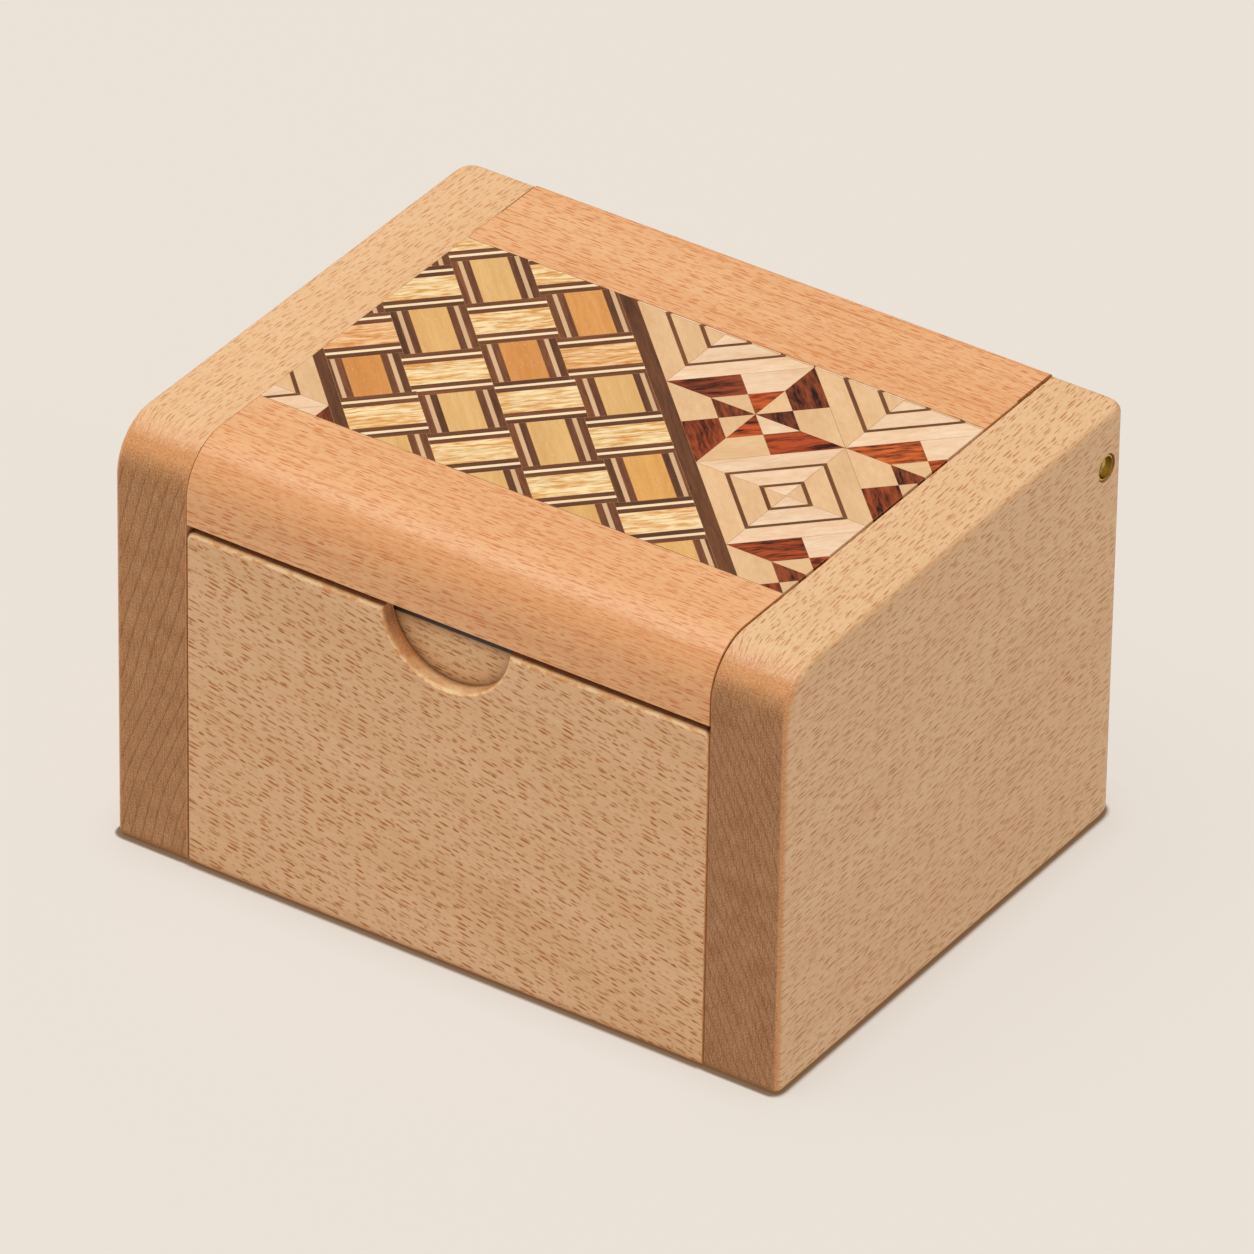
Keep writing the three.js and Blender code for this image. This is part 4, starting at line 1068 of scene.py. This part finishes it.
print("weave cells:", WEAVE_ROWS * len(WEAVE_COLUMNS))

# %% [markdown]
# The tiles are true squares. A square is sawn along both its diagonals, and then each quarter
# is sawn into its strips or its chequers.

# %% Sawing the tiles
TILE_COLUMNS, OFF_X, OFF_Y = range(-4, 4), 88, 64  # tiles further out than this miss the lid


def tile_middle(row, column, edge, hand, first):
    return first + column * TILE, edge + hand * (row + 0.5) * TILE


def tile_cell(u, v, edge, hand, first):
    """The tile that a point is in, and the point seen from the tile's middle."""
    row, column = math.floor(hand * (v - edge) / TILE), math.floor((u - first) / TILE + 0.5)
    u0, v0 = tile_middle(row, column, edge, hand, first)
    return row, column, u - u0, v - v0


def saw_tiles(sheet, edge, hand, first, rows):
    for row in range(1, rows):
        saw(sheet, anywhere, (0, edge + hand * row * TILE), (0, 1))
    for column in TILE_COLUMNS:
        saw(sheet, anywhere, (first + (column + 0.5) * TILE, 0), (1, 0))
    for row in range(rows):
        for column in TILE_COLUMNS:
            u0, v0 = tile_middle(row, column, edge, hand, first)
            if abs(u0 + v0) > OFF_X or abs(v0 - u0) > OFF_Y:
                continue
            here = lambda u, v: tile_cell(u, v, edge, hand, first)[:2] == (row, column)
            saw(sheet, here, (u0, v0), (1, 1))
            saw(sheet, here, (u0, v0), (1, -1))
            lengthwise = lambda u, v: here(u, v) and abs(v - v0) > abs(u - u0)
            sideways = lambda u, v: here(u, v) and abs(v - v0) < abs(u - u0)
            ringed = (row + column) % 2 == 0
            for line in (s * out for out in (SQUARE_LINES if ringed else (TILE / 4,)) for s in (-1, 1)):
                saw(sheet, lengthwise, (u0, v0 + line), (0, 1))
                saw(sheet, sideways, (u0 + line, v0), (1, 0))
            if not ringed:
                saw(sheet, lengthwise, (u0, v0), (1, 0))
                saw(sheet, sideways, (u0, v0), (0, 1))


print("tiles:", 4 * len(TILE_COLUMNS), "places of", TILE, "mm")

# %% [markdown]
# Which wood goes where is a question of how far a piece lies from the middle of its square. Each
# answer is a wood, the way its grain runs and a tint.

# %% Choosing the woods
ALONG_U, ALONG_V = (1, 0), (0, 1)
OLIVE, ORANGE, GOLD = (233, 187, 120), (227, 160, 86), (232, 172, 92)
YELLOW, DEEP = (231, 180, 108), (221, 149, 76)
DYES = {(0, -3): ORANGE, (0, 1): GOLD, (0, 3): YELLOW, (1, -2): DEEP, (1, 2): YELLOW,
        (2, -3): (232, 182, 113), (3, -2): DEEP, (0, -1): (230, 184, 118)}
STAINS = {(0, -2): (0.93, 0.8, 0.72, 1), (3, -3): (0.94, 0.76, 0.7, 1), (0, 2): (1, 0.98, 1, 1)}


def shade(amount):
    return (amount, amount, amount, 1)


def weave_wood(u, v):
    row, column, inside = weave_cell(u, v)
    streaky = is_streaky(row, column)
    grain = ALONG_V if streaky else ALONG_U
    luck = luck_of(row, column, round(inside))
    strip = strip_of(inside)
    if strip == 3:
        if streaky:
            return STREAKY, grain, STAINS.get((row, column), shade(0.96 + 0.06 * luck))
        return SPLINT, grain, paint(*DYES.get((row, column), OLIVE))
    if strip == 1:
        return (WHITE if streaky else TAN), grain, shade(0.95 + 0.08 * luck)
    return WALNUT, grain, (0.72 + 0.55 * luck, 0.74 + 0.44 * luck, 0.76 + 0.4 * luck, 1)


REDS = {"top": ((142, 69, 34), (122, 61, 34)), "right": ((182, 77, 34), (204, 88, 37)),
        "bottom": ((160, 72, 34), (146, 71, 37)), "left": ((150, 69, 35), (212, 94, 42))}
STREAKED_REDS = {(0, 1, "left", True): (176, 77, 36), (1, 0, "left", True): (222, 106, 48)}


def tile_wood(u, v, edge, hand, first):
    row, column, du, dv = tile_cell(u, v, edge, hand, first)
    lengthwise = abs(dv) > abs(du)
    out, side = (abs(dv), du if dv > 0 else -du) if lengthwise else (abs(du), -dv if du > 0 else dv)
    luck = luck_of(row, column, round(du), round(dv))
    grain = ALONG_U if lengthwise else ALONG_V
    plain = BEIGE if lengthwise else FIGURED
    if (row + column) % 2 == 0:
        outer, inner, outer_core, inner_core = SQUARE_LINES
        if inner < out < outer or inner_core < out < outer_core:
            return LINE, grain, shade(0.85 + 0.4 * luck)
        return plain, grain, shade(0.95 + 0.07 * luck)
    quarter = ("top" if dv > 0 else "bottom") if lengthwise else ("right" if du > 0 else "left")
    outer_band = out > TILE / 4
    if (side < 0) != outer_band:
        bright = (quarter, outer_band) in (("left", True), ("right", False))
        return (FIGURED if bright else BEIGE), grain, shade(0.93 + 0.08 * luck)
    tone = STREAKED_REDS.get((row, column, quarter, outer_band), REDS[quarter][0 if outer_band else 1])
    return ROSEWOOD, grain, paint(*tone)


print("dyed splints:", len(DYES), "reds:", 2 * len(REDS) + len(STREAKED_REDS))

# %% [markdown]
# When a sheet is sawn, its faces are dealt their woods, and the grain and tint are written onto
# their corners. The sheet is turned onto the lid's diagonal, trimmed to the trench, parted along
# every joint and thickened downwards.

# %% Assembling the sheets
tiles_high = box_of("tile_sheet_right")[1]
INLAY_X, INLAY_Y = lid_high.x - 0.02, tiles_high.y
JOINT = 0.03
X, Y = Vector((1, 0, 0)), Vector((0, 1, 0))


def deal_woods(sheet, wood_at):
    """Writes each face's wood, grain and tint, and returns the woods that were used."""
    mesh = sheet.data
    used, places, tints = [], [0.0] * (3 * len(mesh.loops)), [0.0] * (4 * len(mesh.loops))
    for face in mesh.polygons:
        wood, grain, tint = wood_at(face.center.x / MM, face.center.y / MM)
        if wood not in used:
            used.append(wood)
        face.material_index = used.index(wood)
        lift = 40 * luck_of(face.center.x * 1000, face.center.y * 1000, wood)
        for corner in face.loop_indices:
            spot = mesh.vertices[mesh.loops[corner].vertex_index].co
            along = spot.x * grain[0] + spot.y * grain[1]
            across = -spot.x * grain[1] + spot.y * grain[0]
            places[3 * corner:3 * corner + 3] = (along, across, lift)
            tints[4 * corner:4 * corner + 4] = tint
    write_corners(mesh, "grain_place", places, "FLOAT_VECTOR", "vector")
    write_corners(mesh, "tint", tints, "FLOAT_COLOR", "color")
    return used


def set_in_lid(sheet, glue):
    """Turns a sawn sheet onto the lid, trims it and makes its pieces solid. Glue is the number of
    the material in the joints."""
    take_up(sheet)
    sheet.rotation_euler = (0, 0, -math.pi / 4)
    sheet.location = (0, 0, tiles_high.z * MM)
    bpy.ops.object.transform_apply(location=True, rotation=True, scale=True)
    start_shaping(sheet, "FACE")
    for across, reach in ((X, INLAY_X), (-X, INLAY_X), (Y, INLAY_Y), (-Y, INLAY_Y)):
        bpy.ops.mesh.select_all(action="SELECT")
        bpy.ops.mesh.bisect(plane_co=across * reach * MM, plane_no=across, clear_outer=True)
    stop_shaping()
    apply_change(sheet, "SOLIDIFY", thickness=INLAY_THICK * MM, offset=-1)
    apply_change(sheet, "BEVEL", width=JOINT * MM, segments=1, limit_method="ANGLE",
                 angle_limit=math.radians(60), use_clamp_overlap=True, material=glue)


def marquetry(name, low_v, high_v, sawing, piece_at, wood_at, node, slot):
    sheet = flat_sheet(name, low_v, high_v)
    start_shaping(sheet, "FACE")
    sawing(sheet)
    part_pieces(sheet, piece_at)
    stop_shaping()
    used = deal_woods(sheet, wood_at)
    for wood in (*used, GLUE):
        sheet.data.materials.append(veneers[wood])
    set_in_lid(sheet, len(used))
    take_finish(sheet, "lid", node, slot)


def tiles(side, edge, hand, first, rows):
    """Rows of tiles from one edge of the weave outwards. hand is 1 to the right and -1 to the left."""
    low_v, high_v = sorted((edge, edge + hand * rows * TILE))
    sawing = lambda sheet: saw_tiles(sheet, edge, hand, first, rows)
    wood_at = lambda u, v: tile_wood(u, v, edge, hand, first)
    marquetry(f"tiles_{side}", low_v, high_v, sawing, each_face, wood_at, f"tile_sheet_{side}", "tile_veneer")


each_face = lambda u, v: (round(u, 2), round(v, 2))
uncut = lambda sheet: None
plain_walnut = lambda u, v: (WALNUT, ALONG_U, shade(0.85))
marquetry("weave", weave_bottom, WEAVE_TOP, saw_weave, weave_piece, weave_wood, "weave_sheet", "weave_veneer")
tiles("right", right_edge, 1, TILE_COLUMN, 3)
tiles("left", left_edge, -1, LOW_TILE_COLUMN, 1)
for side, low_v, high_v in (("right", WEAVE_TOP, right_edge), ("left", left_edge, weave_bottom)):
    marquetry(f"band_{side}", low_v, high_v, uncut, each_face, plain_walnut, f"divider_band_{side}",
              "divider_walnut")

# %% [markdown]
# ## The pieces inside
#
# The back, the bottom, the inner front board, the lock and its catch are plain sawn or machined
# shapes, and the packed model already has them right. They keep their shapes and get the woods.

# %% Surfaces for the inner pieces
def walnut_surface(name, pale, deep):
    """Oiled walnut, with its grain running up the piece."""
    recipe = Recipe(name)
    place = recipe.node("ShaderNodeTexCoord", take="Object")
    figure = recipe.noise(place, (420, 420, 60), detail=3)
    pores = recipe.noise(place, (5200, 5200, 420), detail=1).step(0.56, 0.74)
    colour = recipe.mix((figure.step(0.3, 0.7) + pores * 0.6).held(), pale, deep)
    return recipe.solid(colour, 0.4 + pores * 0.2, pores * -1, 0.00003)


stud_walnut = walnut_surface("stud_walnut", paint(134, 92, 60), paint(74, 46, 28))
inner_surfaces = {
    "inner_front_board": behind_panel_beech, "finger_stud": stud_walnut,
    **dict.fromkeys(("bottom_board", "back_board", "lock_channel", "lock_bar", "panel_stop_pin",
                     "panel_key_left", "panel_key_right"), inner_beech),
    **dict.fromkeys(("lid_catch", "catch_screw_front", "catch_screw_back"), catch_brass),
}
for node, surface in inner_surfaces.items():
    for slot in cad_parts[node].material_slots:
        slot.material = surface
print("inner pieces:", len(inner_surfaces))

# %% [markdown]
# The pieces made here should fill the same box as the packed model.
